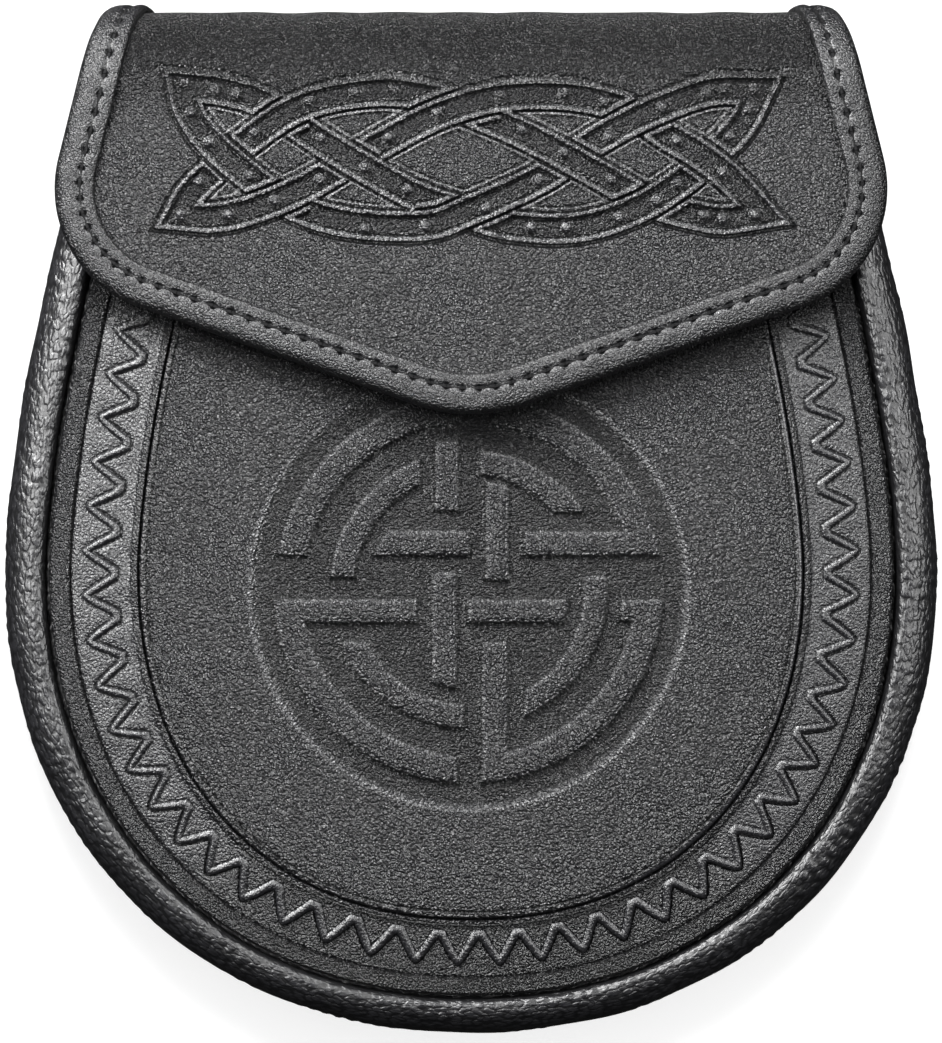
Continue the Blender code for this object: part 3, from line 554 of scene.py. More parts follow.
def field_level(xy):
    """Relief of the field: the recess with its bars, and a fine lip on the recess's edge.

    The cut round a bar is deep on its undercut side, by (1 + cos) / 2 of its turn from there,
    squared, and shallow opposite.
    """
    x, y = xy.T
    r = np.hypot(x, y)
    wall = np.interp(r - RECESS_RADIUS, *np.array(RECESS_WALL).T)
    depth = bar_depth(x, y)
    slope_x, slope_y = bar_slope(x, y)
    facing = -slope_x * UNDERCUT_SIDE[0] - slope_y * UNDERCUT_SIDE[1]
    aslant = (0.5 + 0.5 * np.clip(facing, -1.0, 1.0)) ** 2
    bars = np.interp(depth, BAR_DEPTH, BAR_LEVEL) + aslant * np.interp(depth, BAR_DEPTH, KNIFE_CUT)
    return FIELD_RISE + wall + bars * (r < KNOT_REACH)


FIELD_CELLS = 264
disc, rings = field_grid(FIELD_CELLS)
disc = snap_to_lines(disc, (-0.75, -0.3, 0.05, 0.35), 0.16)
disc[1:-1, 1:-1] = snap_to_circles(disc[1:-1, 1:-1], (RECESS_RADIUS - 0.45, RECESS_RADIUS,
                                                      RECESS_RADIUS + 0.3), 0.15)
disc_xy = disc.reshape(-1, 2)
knot_xy = np.concatenate([disc_xy, rings.reshape(-1, 2)])      # from the knot's middle
on_rings = np.zeros((3, *rings.shape[:2]))
on_rings[:, -len(RIM):] = np.array(RIM)[:, 1:].T[..., None]
drop, ring_smooth, ring_dye = on_rings
level = field_level(knot_xy) + 0.05 * ripple(knot_xy, 11.0, 5)
level[len(disc_xy):] += drop.ravel()
xy = knot_xy + KNOT_MIDDLE
front = np.column_stack([xy, FACE_Z + dome(xy) + level])
faces = grid_faces(*disc.shape[:2]) + grid_faces(*rings.shape[:2], start=len(disc_xy))
back_disc, back_rings = field_grid(FIELD_CELLS // 12)
back_rings = back_rings[[0, 6, -1]]
back_xy = np.concatenate([back_disc.reshape(-1, 2), back_rings.reshape(-1, 2)]) + KNOT_MIDDLE
behind = np.column_stack([back_xy, FACE_Z + dome(back_xy) - FRONT_WALL])
start = len(front)
faces += grid_faces(*back_disc.shape[:2], start=start)
faces += grid_faces(*back_rings.shape[:2], start=start + back_disc.shape[0] ** 2)
last_front = np.arange(start - rings.shape[1], start).tolist()
last_back = np.arange(start + len(behind) - back_rings.shape[1], start + len(behind)).tolist()
faces += rim_faces(last_front, last_back)
depth = bar_depth(*disc_xy.T)
from_middle = np.hypot(*disc_xy.T)
in_recess = ease((RECESS_RADIUS - 0.5 - from_middle) / 1.2)
on_bar = ease((depth + 0.1) / 0.6)
# Dye and painted shade: the recess floor is darker than the field, and the knife cuts round the
# bars darker still.
dye = in_recess * (0.5 * (1.0 - on_bar) + 0.8 * ease(1.0 - np.abs(depth + 0.25) / 0.4))
stipple = 0.55 * in_recess * (1.0 - on_bar)
lip = ease(1.0 - np.abs(from_middle - RECESS_RADIUS) / 0.9)
smooth = 0.45 * on_bar * ease((1.2 - depth) / 0.5) - 0.2 * in_recess * (1.0 - on_bar) + 0.7 * lip
# Painted light and shade on the rim: it is made glossier and lighter on the right and left darker
# on the left.
wear_and_sheen = ease((rings[..., 0] - 15.0) / 25.0)
ring_smooth *= 1.0 + 0.8 * wear_and_sheen
ring_dye[1 - len(RIM):] *= 1.0 - 0.8 * wear_and_sheen[1 - len(RIM):]
# The flap's painted shadow on the field, below its edge.
smooth, stipple, dye = painted_shadow_below_flap(xy, *(
    np.concatenate([inside, outside.ravel()]) for inside, outside in
    ((smooth, ring_smooth), (stipple, np.zeros_like(ring_dye)), (dye, ring_dye))))

field_leather = leather("waxed cowhide, full grain", grain=0.64, depth=0.36, roughness=0.27)
field = make_piece("front_field", np.concatenate([front, behind]), faces, field_leather,
                   "tooled_leather", smooth=smooth, stipple=stipple, dye=dye)
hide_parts("front_panel")
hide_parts("front_panel")


# ---------------------------------------------------------------- gusset
# The soft side wall: one strip of 1.6 mm drum-dyed leather with a pebbled grain, turned in under
# the front and the back and sewn, so that it rolls proud of both. It creases across the roll
# where it goes round the bottom.

GUSSET_WALL = 1.6
GUSSET_TOP_Y = 80.0
FRONT_CREST_Z = 34.0
BACK_LEAN = 9.0 / 183.0
REST_Y = WIDEST_Y - DEPTH_BELOW_WIDEST + 5.6 * (1.0 - BOTTOM_SQUEEZE)
FLANGE_DROP = 3.8            # the flanges lie flat this far inside the crests
#            in    below the crest, from the flange under the panel, over the roll, to the side
ROLL = ((17.0, FLANGE_DROP), (13.0, FLANGE_DROP), (8.75, FLANGE_DROP), (8.3, 2.9), (8.0, 1.5),
        (7.5, 0.45), (6.5, 0.0), (5.0, 0.15), (3.5, 0.75), (2.0, 1.85), (0.9, 3.3), (0.2, 5.2),
        (0.0, 8.0), (1.4, 17.0))


def curve_through(points, per_span):
    """A smooth line through points: on each span the Catmull-Rom cubic of its four points."""
    points = np.asarray(points, float)
    padded = np.concatenate([2 * points[:1] - points[1:2], points, 2 * points[-1:] - points[-2:-1]])
    t = np.linspace(0.0, 1.0, per_span, endpoint=False)[None, :, None]
    a, b, c, d = (padded[i:len(padded) - 3 + i, None, :] for i in range(4))
    spans = 0.5 * (2 * b + (c - a) * t + (2 * a - 5 * b + 4 * c - d) * t ** 2
                   + (3 * b - a - 3 * c + d) * t ** 3)
    return np.concatenate([spans.reshape(-1, points.shape[1]), points[-1:]])


half = curve_through(ROLL, 4)
half[:9, 1] = FLANGE_DROP
whole = np.concatenate([half, half[-2::-1]])
side = np.where(np.arange(len(whole)) < len(half), 1.0, -1.0)
reach = FRONT_CREST_Z / 2.0
section = np.column_stack([-whole[:, 0], side * (reach - whole[:, 1])])
section[len(half) - 1, 1] = 0.0
inner_line = section + right_hand(section) * GUSSET_WALL
gusset_outline = pouch_outline(GUSSET_TOP_Y, 721)


def carry_round(section_line):
    """Grid of a gusset section carried round the pouch: (section, station, xyz).

    The back half of a section is measured from the back crest, which leans up to the mouth.
    """
    rings = []
    for out, rise in section_line:
        xy = inset(gusset_outline, -out)
        lean = BACK_LEAN * (xy[:, 1] - REST_Y)
        middle = (FRONT_CREST_Z + lean) / 2.0
        share = abs(rise) / reach
        end = FRONT_CREST_Z - (reach - rise) if rise > 0.0 else lean + (reach + rise)
        z = middle if share < 1e-6 else np.broadcast_to(end, len(xy))
        near_middle = ease((0.35 - share) / 0.35)
        rings.append(np.column_stack([xy, z * (1.0 - near_middle) + near_middle * (
            middle + rise * (FRONT_CREST_Z - lean) / FRONT_CREST_Z)]))
    return np.stack(rings)


skin = carry_round(section)
lining = carry_round(inner_line)
place = np.stack(np.meshgrid(distance_along(gusset_outline[0]), distance_along(section)),
                 axis=-1).reshape(-1, 2)
creases = ripple(place * (1.0, 0.8), 2.6, 7) * ease(0.5 + 0.5 * ripple(place, 19.0, 8))
slow = ripple(place * (0.6, 0.8), 14.0, 9)
shown = ease((9.0 - whole[:, 0]) / 1.5)
height = (0.07 * creases + 0.07 * slow).reshape(len(section), -1) * shown[:, None]
height -= 0.16 * ease(1.0 - np.abs(skin[..., 2]) / 4.0)       # it lies on this side
outward = unit(np.cross(np.gradient(skin, axis=0), np.gradient(skin, axis=1)))
points, faces = wall_of_leather(skin + outward * height[:, :, None], lining, 4)
# Painted shade: the roll is dyed dark where it turns in towards the gap under the front and the
# back.
dye = np.repeat(ease((whole[:, 0] - 7.0) / 1.5), skin.shape[1])
gusset_leather = leather("soft pebbled hide, drum-dyed", grain=1.7, depth=0.1, roughness=0.32,
                         light="1e1e20", stretch=(1.0, 1.8), fine=0.3)
gusset = make_piece("gusset_leather", points, faces, gusset_leather, "soft_grain_leather",
                    lay=place, dye=dye)
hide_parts("gusset")


# ---------------------------------------------------------------- flap
# The flap and the fold in one sheet of 2.2 mm cowhide: a tail sewn to the back, the fold over
# the top, and the front with its rounded point. A four-strand plait is tooled on it: each strand
# has a rim between knife cuts, a punched ground and round pearls left standing.

FLAP_WALL = 2.2
FLAP_HALF_WIDTH = 82.9
CORNER_RADIUS = 25.0
CORNER_Y = 65.6
SIDE_LEAN = math.radians(14.0)
MIDDLE_Z = 36.8              # the flap's middle surface on its flat front
FOLD_RADIUS = 14.0508
FOLD_Y = 86.449
FOLD_TURN = math.pi - math.atan(BACK_LEAN)
FOLD_END_S = FOLD_Y + FOLD_RADIUS * FOLD_TURN
TAIL_END_S = FOLD_END_S + 24.0
FLAP_CROWN = 4.0             # the flap stands this much higher along its middle
KNOT_HALF_X = 62.5           # the plait, and the fine part of the flap's grid, reach this far
KNOT_LOW_S, KNOT_HIGH_S = 53.2, 91.6
SHEET_INSET = 1.4            # the sheet ends this far inside the binding's edge
BINDING_END_S = FOLD_Y + FOLD_RADIUS * math.radians(148.0)


def on_flap(xs, height):
    """Places on the folded flap: x, and s along it, which is y on the flat front.

    The sheet is flat, then goes round the fold on an arc, then runs straight down the back. Its
    front is crowned by FLAP_CROWN (1 - (x / half width)**2), which fades out on the fold.
    """
    x, s = xs[..., 0], xs[..., 1]
    turn = np.clip((s - FOLD_Y) / FOLD_RADIUS, 0.0, FOLD_TURN)
    after = np.maximum(s - FOLD_END_S, 0.0)
    fade = ease((FOLD_Y + FOLD_RADIUS * math.pi / 2.0 - s) / 38.0)
    crown = FLAP_CROWN * (1.0 - (x / FLAP_HALF_WIDTH) ** 2) * fade
    radius = FOLD_RADIUS + crown + height
    y = FOLD_Y + np.minimum(s - FOLD_Y, 0.0) + radius * np.sin(turn) + after * math.cos(FOLD_TURN)
    z = MIDDLE_Z - FOLD_RADIUS + radius * np.cos(turn) - after * math.sin(FOLD_TURN)
    return np.stack([x, y, z], axis=-1)


def arc(radius, start, end, count):
    """Points on a circle about the origin, between two angles."""
    turn = np.linspace(start, end, count)
    return np.column_stack([radius * np.cos(turn), radius * np.sin(turn)])


def bound_edge(end_s, step=0.2):
    """Flap's outer edge drawn flat, with its normals: point, slopes, corners, leaning sides."""
    down = -math.pi / 2.0
    tip = arc(POINT_RADIUS, down, down + POINT_SLOPE, 60) + (0.0, POINT_Y + POINT_RADIUS)
    corner = (FLAP_HALF_WIDTH - CORNER_RADIUS, CORNER_Y)
    bend = arc(CORNER_RADIUS, down + POINT_SLOPE, SIDE_LEAN, 160) + corner
    side_s = np.linspace(bend[-1, 1], end_s, 200)[1:]
    side = np.column_stack([bend[-1, 0] - (side_s - bend[-1, 1]) * math.tan(SIDE_LEAN), side_s])
    right = np.concatenate([tip, bend, side])
    line = np.concatenate([right[:0:-1] * (-1.0, 1.0), right])
    length = np.hypot(*np.diff(line, axis=0).T).sum()
    line = resample(line, 2 * round(length / step / 2.0) + 1)
    return line, right_hand(line)


# Way points of each strand's middle line. Two strands meet in a mitre at each of the four tips.
STRANDS = (
    ((-58.1, 60.1), (-55.8, 64.2), (-51.3, 68.8), (-44.9, 74.4), (-33.9, 81.6), (-20.1, 84.6),
     (-8.1, 83.6), (1.9, 79.8), (11.9, 75.4), (25.9, 67.8), (34.5, 63.0), (44.0, 60.2),
     (50.4, 59.3), (57.8, 60.4)),
    ((-58.1, 60.1), (-51.5, 59.6), (-44.1, 61.0), (-34.1, 65.0), (-25.1, 70.0), (-17.1, 74.6),
     (-6.1, 80.2), (5.9, 83.6), (19.9, 83.8), (30.9, 81.0), (39.5, 75.6), (46.2, 71.6),
     (52.5, 66.4), (57.8, 60.4)),
    ((-57.3, 85.7), (-49.4, 84.9), (-41.7, 82.6), (-33.5, 77.2), (-24.1, 71.2), (-11.1, 64.0),
     (-1.7, 60.8), (7.9, 58.0), (20.9, 57.6), (32.3, 61.0), (41.9, 66.8), (48.3, 72.3),
     (53.8, 78.1), (57.4, 85.1)),
    ((-57.3, 85.7), (-56.1, 81.1), (-51.9, 74.8), (-42.5, 66.6), (-33.5, 61.2), (-23.1, 58.4),
     (-9.1, 58.0), (-1.1, 60.6), (13.9, 67.4), (22.9, 73.6), (31.9, 78.8), (40.9, 82.7),
     (48.3, 84.9), (57.4, 85.1)))
# The tips: side of the flap, and its two strands, each with the sign of its outer side.
TIPS = ((-1.0, 2, -1.0, 3, 1.0), (-1.0, 0, -1.0, 1, 1.0), (1.0, 2, 1.0, 3, -1.0),
        (1.0, 0, 1.0, 1, -1.0))
TIP_FROM_X = 46.0
# Crossings from left to right: the strand on top, the one below it, and the range of x.
CROSSINGS = ((3, 0, -55.0, -42.0), (0, 2, -46.0, -32.0), (1, 3, -46.0, -32.0),
             (2, 1, -31.0, -18.0), (1, 0, -13.0, 6.0), (3, 2, -11.0, 8.0), (0, 3, 9.0, 27.0),
             (3, 1, 22.0, 40.0), (2, 0, 25.0, 44.0), (1, 2, 38.0, 54.0))
# Pearls on the strands, and the radius of one.
PEARLS = ((-57.1, 86.6), (-51.1, 85.2), (-46.7, 84.2), (-55.7, 80.6), (-52.1, 74.6),
          (-44.1, 68.0), (-43.1, 76.6), (-32.1, 83.0), (-23.1, 84.6), (-15.1, 85.2),
          (-29.7, 75.6), (-21.1, 69.6), (-12.5, 65.2), (-6.7, 80.6), (-16.5, 75.6),
          (-30.1, 67.2), (-39.1, 63.0), (-48.1, 60.2), (-57.5, 60.2), (-54.1, 67.0),
          (-21.1, 57.2), (-9.1, 58.0), (5.9, 84.2), (18.5, 84.6), (26.5, 82.8), (10.3, 77.2),
          (18.5, 72.6), (27.3, 75.6), (27.9, 67.2), (13.3, 67.0), (2.9, 61.2), (11.9, 57.6),
          (18.9, 57.6), (29.3, 59.6), (36.9, 63.0), (40.9, 66.6), (40.9, 75.0), (37.9, 81.6),
          (46.9, 84.6), (50.3, 85.2), (56.3, 85.2), (54.9, 81.2), (51.3, 76.0), (49.9, 68.6),
          (46.3, 60.2), (49.9, 59.4), (56.3, 60.2))
PEARL_RADIUS = 1.25
#             punched ground, the rim's slope and top, the outer cut, and the face
STRAND_OFF = (0.0, 1.3, 1.6, 1.9, 2.25, 2.6, 2.9, 3.2, 3.5, 3.9)
STRAND_LEVEL = (-0.34, -0.34, -0.34, -0.3, 0.12, 0.24, 0.15, -0.2, -0.2, 0.0)
# Cut inside the rim on the side that faces the light, and outside it on the undercut side.
INNER_CUT = (0.0, 0.0, -0.5, -0.6, 0.0, 0.0, 0.0, 0.0, 0.0, 0.0)
OUTER_CUT = (0.0, 0.0, 0.0, 0.0, 0.0, 0.0, 0.0, -0.8, -0.8, 0.0)
STRAND_EDGE = 3.3            # the outer cut
STRAND_POLISH = (-0.5, -0.5, -0.2, 0.3, 0.65, 0.7, 0.65, 0.3, 0.2, 0.0)
# A gap between strands has a rim and a cut of its own, and a matted ground; its cuts are darkened,
# with dye and painted shade.
GAP_OFF = (3.3, 3.6, 3.95, 4.3, 4.65)
GAP_LEVEL = (-0.5, 0.06, 0.06, -0.45, -0.12)
GAP_DYE_AND_SHADE = (1.0, 0.0, 0.0, 1.0, 0.0)
GAP_POLISH = (0.2, 0.8, 0.8, 0.2, 0.1)


def strand_sides(xs):
    """Signed distance of each place to each strand's middle line, and the line's normal there.

    The line runs on straight beyond its ends.
    """
    signed, normals = [], []
    for strand in STRANDS:
        line = resample(curve_through(strand, 12), 420)
        sideways = right_hand(line)
        nearest = np.concatenate([
            ((some[:, None, 0] - line[:, 0]) ** 2 + (some[:, None, 1] - line[:, 1]) ** 2
             ).argmin(axis=1) for some in np.array_split(xs, 1 + len(xs) // 15000)])
        signed.append(((xs - line[nearest]) * sideways[nearest]).sum(axis=1))
        normals.append(sideways[nearest])
    return np.array(signed), np.array(normals)


def plait(xs):
    """Distance to the middle line of the strand seen at each place, and that distance's slope.

    Where two strands cross, the lower one is left out within the upper one's reach, and its rim
    closes it off there: its distance is max(a, 2 edge - b), with b the distance to the upper one.
    At a tip the two strands join in a mitre: their common distance is |max(a, b)|, with a and b
    the distances outwards from their middle lines.
    """
    signed, normals = strand_sides(xs)
    apart = np.abs(signed)
    slope = normals * np.sign(signed)[..., None]
    for side, a, out_a, b, out_b in TIPS:
        both = np.array([out_a * signed[a], out_b * signed[b]])
        near = (xs[:, 0] * side > TIP_FROM_X) & (both.max(axis=0) < 12.0)
        near &= np.minimum(apart[a], apart[b]) < 8.0
        first = both[0] > both[1]
        joined = np.abs(both.max(axis=0))
        outward = np.where(first[:, None], out_a * normals[a], out_b * normals[b])
        outward = outward * np.sign(both.max(axis=0))[:, None]
        for strand, owns in ((a, first), (b, ~first)):
            apart[strand] = np.where(near, np.where(owns, joined, 99.0), apart[strand])
            slope[strand] = np.where(near[:, None], outward, slope[strand])
    for over, under, x0, x1 in CROSSINGS:
        near = (xs[:, 0] > x0) & (xs[:, 0] < x1)
        closing = 2.0 * STRAND_EDGE - apart[over]
        closed = near & (closing > apart[under])
        slope[under] = np.where(closed[:, None], -slope[over], slope[under])
        apart[under] = np.where(closed, closing, apart[under])
        apart[under] = np.where(near & (apart[over] < STRAND_EDGE), 99.0, apart[under])
    seen = apart.argmin(axis=0)
    every = np.arange(len(xs))
    return apart[seen, every], slope[seen, every]


def in_gap(xs):
    """True in the gaps of the plait.

    They lie between the middle lines of the lowest two strands, of the highest two, and, away
    from the notch at each end, of the middle two.
    """
    heights = np.sort([np.interp(xs[:, 0], *curve_through(strand, 12).T) for strand in STRANDS],
                      axis=0)
    below = (xs[:, 1] > heights).sum(axis=0)
    return (np.abs(xs[:, 0]) < 57.0) & ((below == 1) | (below == 3)
                                        | ((below == 2) & (np.abs(xs[:, 0]) < 49.0)))


def knot_relief(xs):
    """Level, polish, stipple, and dye with painted shade, of the plait at each place."""
    least, slope = plait(xs)
    gap = in_gap(xs) & (least > STRAND_EDGE)
    on_strand, inner, outer, strand_polish = (
        np.interp(least, STRAND_OFF, table)
        for table in (STRAND_LEVEL, INNER_CUT, OUTER_CUT, STRAND_POLISH))
    gap_level, gap_dye, gap_polish = (np.interp(least, GAP_OFF, table)
                                      for table in (GAP_LEVEL, GAP_DYE_AND_SHADE, GAP_POLISH))
    aslant = 0.5 + 0.5 * np.clip(slope @ UNDERCUT_SIDE, -1.0, 1.0)
    inner *= 0.35 + 0.65 * (1.0 - aslant)
    outer *= 0.4 + 0.6 * aslant
    level = np.where(gap, gap_level, on_strand + inner + outer)
    to_pearl = np.linalg.norm(xs[:, None] - np.array(PEARLS), axis=2).min(axis=1)
    inside = least < 1.9
    pearl = 0.95 * np.sqrt(np.clip(1.0 - (to_pearl / PEARL_RADIUS) ** 2, 0.0, 1.0))
    ring = ease((to_pearl - PEARL_RADIUS + 0.1) / 0.15) * ease((1.75 - to_pearl) / 0.35) * inside
    level = level + np.where(inside, pearl, 0.0) - 0.3 * ring
    on_pearl = ease((PEARL_RADIUS + 0.1 - to_pearl) / 0.2) * inside
    ground = ease((1.7 - least) / 0.2)
    stipple = np.where(gap, 0.3 * ease((least - 4.4) / 0.3),
                       0.4 * ground * (1.0 - on_pearl))
    # Darker in the gaps' cuts, the knife cuts, the punched ground and the groove round each pearl:
    # dye gathered there, and painted shade.
    dye = np.where(gap, gap_dye, 0.25 * ground - 1.8 * (inner + outer))
    dye = np.maximum(np.clip(dye, 0.0, 1.0) * (1.0 - on_pearl), ring)
    polish = np.where(gap, gap_polish, strand_polish)
    return level, polish * (1.0 - on_pearl) + 0.6 * on_pearl, stipple, dye


def snap_to_strands(xs, reach):
    """Moves places that are within reach of a cut's or rim's line onto it."""
    least, slope = plait(xs)
    short = np.zeros(len(xs))
    for line in (1.6, 1.9, 2.25, 2.9, 3.2, 3.5, 3.9, 4.3):
        short = np.where(np.abs(least - line) < reach, line - least, short)
    return xs + slope * short[:, None]


edge, edge_out = bound_edge(BINDING_END_S)
sheet_edge = edge - edge_out * SHEET_INSET
right_half = sheet_edge[len(sheet_edge) // 2:]
# Rows follow the point's edge below SPLIT_S, and are level above it. Columns are close together
# over the plait and wide apart beside it.
side_line = right_half[int(np.argmax(right_half[:, 1] > 52.0)):]
split_half, SPLIT_S = side_line[0]
wide_x = np.linspace(KNOT_HALF_X, split_half, 14)[1:]
flap_x = np.concatenate([-wide_x[::-1], np.linspace(-KNOT_HALF_X, KNOT_HALF_X, 447), wide_x])
tail_s = (FOLD_END_S, FOLD_END_S + 8.0, TAIL_END_S - 9.0, TAIL_END_S - 5.5, TAIL_END_S - 2.6,
          TAIL_END_S - 0.7, TAIL_END_S)
tail_half = (62.0, 62.0, 62.0, 61.0, 58.8, 56.0, 53.0)
row_s = np.concatenate([np.linspace(SPLIT_S, KNOT_LOW_S, 4)[:-1],
                        np.linspace(KNOT_LOW_S, KNOT_HIGH_S, 137),
                        np.linspace(KNOT_HIGH_S, FOLD_END_S, 21)[1:], tail_s[1:]])
row_half = np.interp(row_s, np.concatenate([side_line[:, 1], tail_s]),
                     np.concatenate([side_line[:, 0], tail_half]))
upper = np.stack([flap_x / split_half * row_half[:, None],
                  np.repeat(row_s[:, None], len(flap_x), axis=1)], axis=2)
low_line = sheet_edge[sheet_edge[:, 1] < SPLIT_S]
low_s = np.interp(flap_x, low_line[:, 0], low_line[:, 1])
low_s[[0, -1]] = SPLIT_S
share = np.linspace(0.0, 1.0, 14)[:-1, None]
lower = np.stack([np.repeat(flap_x[None, :], len(share), axis=0),
                  low_s * (1.0 - share) + SPLIT_S * share], axis=2)
flat = np.concatenate([lower, upper])
over_knot = (flat[..., 1] > 52.0) & (flat[..., 1] < 93.0) & (np.abs(flat[..., 0]) < 66.0)
flat[over_knot] = snap_to_strands(flat[over_knot], 0.15)
tooled = np.zeros((4, *flat.shape[:2]))
tooled[:, over_knot] = knot_relief(flat[over_knot])
level, smooth, stipple, dye = tooled
# The grain opens where the leather is bent over the fold, and the fold is darkened there as painted
# shade.
fold_grain_and_shade = ease((flat[..., 1] - 78.0) / 18.0)
smooth -= 0.9 * fold_grain_and_shade
stipple = np.maximum(stipple, 0.4 * fold_grain_and_shade)
dye = np.maximum(dye, 0.9 * fold_grain_and_shade)
uneven = 0.07 * ripple(flat.reshape(-1, 2), 13.0, 15).reshape(level.shape)
front = on_flap(flat, FLAP_WALL / 2.0 + level + uneven)
back = on_flap(flat, -FLAP_WALL / 2.0)
points, faces = wall_of_leather(front, back, 2)
flap_leather = leather("waxed cowhide, plait tooled on it", grain=0.64, depth=0.36,
                       roughness=0.27)
flap = make_piece("flap_leather", points, faces, flap_leather, "tooled_leather",
                  lay=flat.reshape(-1, 2), smooth=smooth, stipple=stipple, dye=dye)
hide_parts("flap")


# ---------------------------------------------------------------- binding of the flap
# A 1.1 mm strip of the same hide, skived thin, folded over the flap's edge, creased along its
# inner edge with a hot iron, and saddle-stitched through all layers, about 6.5 stitches an inch.

BINDING_HALF = FLAP_WALL / 2.0 + 0.3
BINDING_FACE = BINDING_HALF + 1.1
STITCH_LINE = 5.1            # from the flap's outer edge
STITCH_PITCH = 3.85
# Where the section's columns stand within one stitch, as shares of its length from hole to hole.
STITCH_COLUMNS = (0.0, 0.065, 0.13, 0.2, 0.34, 0.5, 0.66, 0.8, 0.87, 0.935)
# The strip's outer skin: in from the edge, and out of BINDING_FACE.
BINDING_SKIN = ((8.05, -1.3), (8.0, -0.8), (7.85, -0.35), (7.5, -0.08), (7.0, 0.06), (6.4, 0.08),
                (5.95, 0.04), (5.6, -0.04), (5.35, -0.16), (5.1, -0.24), (4.85, -0.16),
                (4.6, -0.02), (4.2, 0.08), (3.5, 0.12), (2.7, 0.06), (2.0, -0.08), (1.35, -0.34),
                (0.8, -0.76), (0.4, -1.25), (0.12, -1.8), (0.0, -2.1))

drawn, drawn_out = bound_edge(BINDING_END_S, 0.1)
length = distance_along(drawn)
stitches = round(length[-1] / STITCH_PITCH)
pitch = length[-1] / stitches
walked = (np.arange(stitches)[:, None] + np.array(STITCH_COLUMNS)).ravel() * pitch
walked = np.append(walked, length[-1])
edge, edge_out = (at_distance(walked, length, values) for values in (drawn, drawn_out))
mirrored = np.array((1.0, -1.0))
binding_skin = np.array(BINDING_SKIN) + (0.0, BINDING_FACE)
binding_whole = np.concatenate([binding_skin, binding_skin[::-1] * mirrored])
pocket = np.array(((8.0, BINDING_HALF), (4.5, BINDING_HALF), (1.2, BINDING_HALF)))
pocket_whole = np.concatenate([pocket * mirrored, pocket[::-1]])
from_hole = np.abs(walked / pitch - np.round(walked / pitch)) * pitch
in_from_edge = binding_whole[:, :1]
# The skin dips into each hole, and along the groove it swells a little between the holes.
hole = ease((0.75 - np.hypot(from_hole, in_from_edge - STITCH_LINE)) / 0.4)
pucker = (-0.1 * np.exp(-((in_from_edge - STITCH_LINE) / 1.5) ** 2)
          * np.cos(2.0 * math.pi * walked / pitch))
uneven = 0.05 * ripple(np.stack(np.meshgrid(walked, in_from_edge[:, 0] * 2.0), -1).reshape(-1, 2),
                       7.0, 21).reshape(len(binding_whole), -1)
rise = np.sign(binding_whole[:, 1:]) * (pucker - 0.7 * hole + uneven)
rings = [on_flap(edge - edge_out * inside, height + extra)
         for (inside, height), extra in zip(binding_whole, rise)]
rings += [on_flap(edge - edge_out * inside, height) for inside, height in pocket_whole]
rings = np.stack([*rings, rings[0]])
faces = grid_faces(*rings.shape[:2])
loops = np.arange(rings.shape[0] * rings.shape[1]).reshape(rings.shape[:2])
faces += [loops[:-1, 0].tolist(), loops[:-1, -1].tolist()]
side = np.where(np.arange(len(binding_whole)) < len(binding_skin), 0.0, 30.0)
lay = np.stack(np.meshgrid(walked, binding_whole[:, 0] * 1.1 + side), axis=-1).reshape(-1, 2)
# Painted shade: dark in the stitch holes, along the stitch groove, at the inner crease and round
# the folded outer edge.
dye = np.clip(2.0 * hole + 0.8 * (in_from_edge > 7.7) + ease((1.4 - in_from_edge) / 1.0)
              + 0.7 * (np.abs(in_from_edge - STITCH_LINE) < 0.4), 0.0, 1.0)
smooth = 0.2 + 0.3 * (np.abs(in_from_edge - STITCH_LINE) < 0.8) * np.ones((1, len(edge)))
binding_leather = leather("skived hide strip, creased", grain=0.5, depth=0.18, roughness=0.29)
binding = make_piece("flap_edge_binding", rings.reshape(-1, 3), faces, binding_leather,
                     "binding_leather", lay=lay, dye=dye, smooth=smooth)
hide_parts("flap_binding")


# ---------------------------------------------------------------- stitching of the binding
# Black waxed linen thread, sunk into the groove. Each stitch comes up out of one hole, is pulled
# thin and flush along the groove and goes down into the next, and its thick ends fill the holes.

THREAD = 0.2                 # half its thickness
STITCH_RINGS = 9
STITCH_SIDES = 6


def thread_stitches(holes, sideways, up):
    """Meshes of all stitches between holes: each a bent capsule of rings of points.

    sideways and up are the directions along and out of the leather at each hole. A stitch lies
    deepest and is thickest in the holes, which it fills, by the cube of |cos|, and is drawn thin
    and flush between them.
    """
    t = np.linspace(0.02, 0.98, STITCH_RINGS)[:, None]
    line, across, rise = (ends[:-1, None] * (1.0 - t) + ends[1:, None] * t
                          for ends in (holes, sideways, up))
    in_hole = np.abs(np.cos(math.pi * t)) ** 3
    line = line + rise * (-0.3 - 0.14 * in_hole)
    thick = (THREAD + 0.26 * in_hole)[:, None]
    turn = (np.arange(STITCH_SIDES) * 2.0 * math.pi / STITCH_SIDES)[:, None]
    rings = (line[:, :, None] + across[:, :, None] * np.cos(turn) * thick
             + rise[:, :, None] * np.sin(turn) * thick)
    index = np.arange(rings.size // 3).reshape(rings.shape[:3])
    around = np.roll(index, -1, axis=2)
    cells = np.stack([index[:, :-1], around[:, :-1], around[:, 1:], index[:, 1:]], axis=-1)
    faces = cells.reshape(-1, 4).tolist() + index[:, 0].tolist() + index[:, -1].tolist()
    return rings.reshape(-1, 3), faces


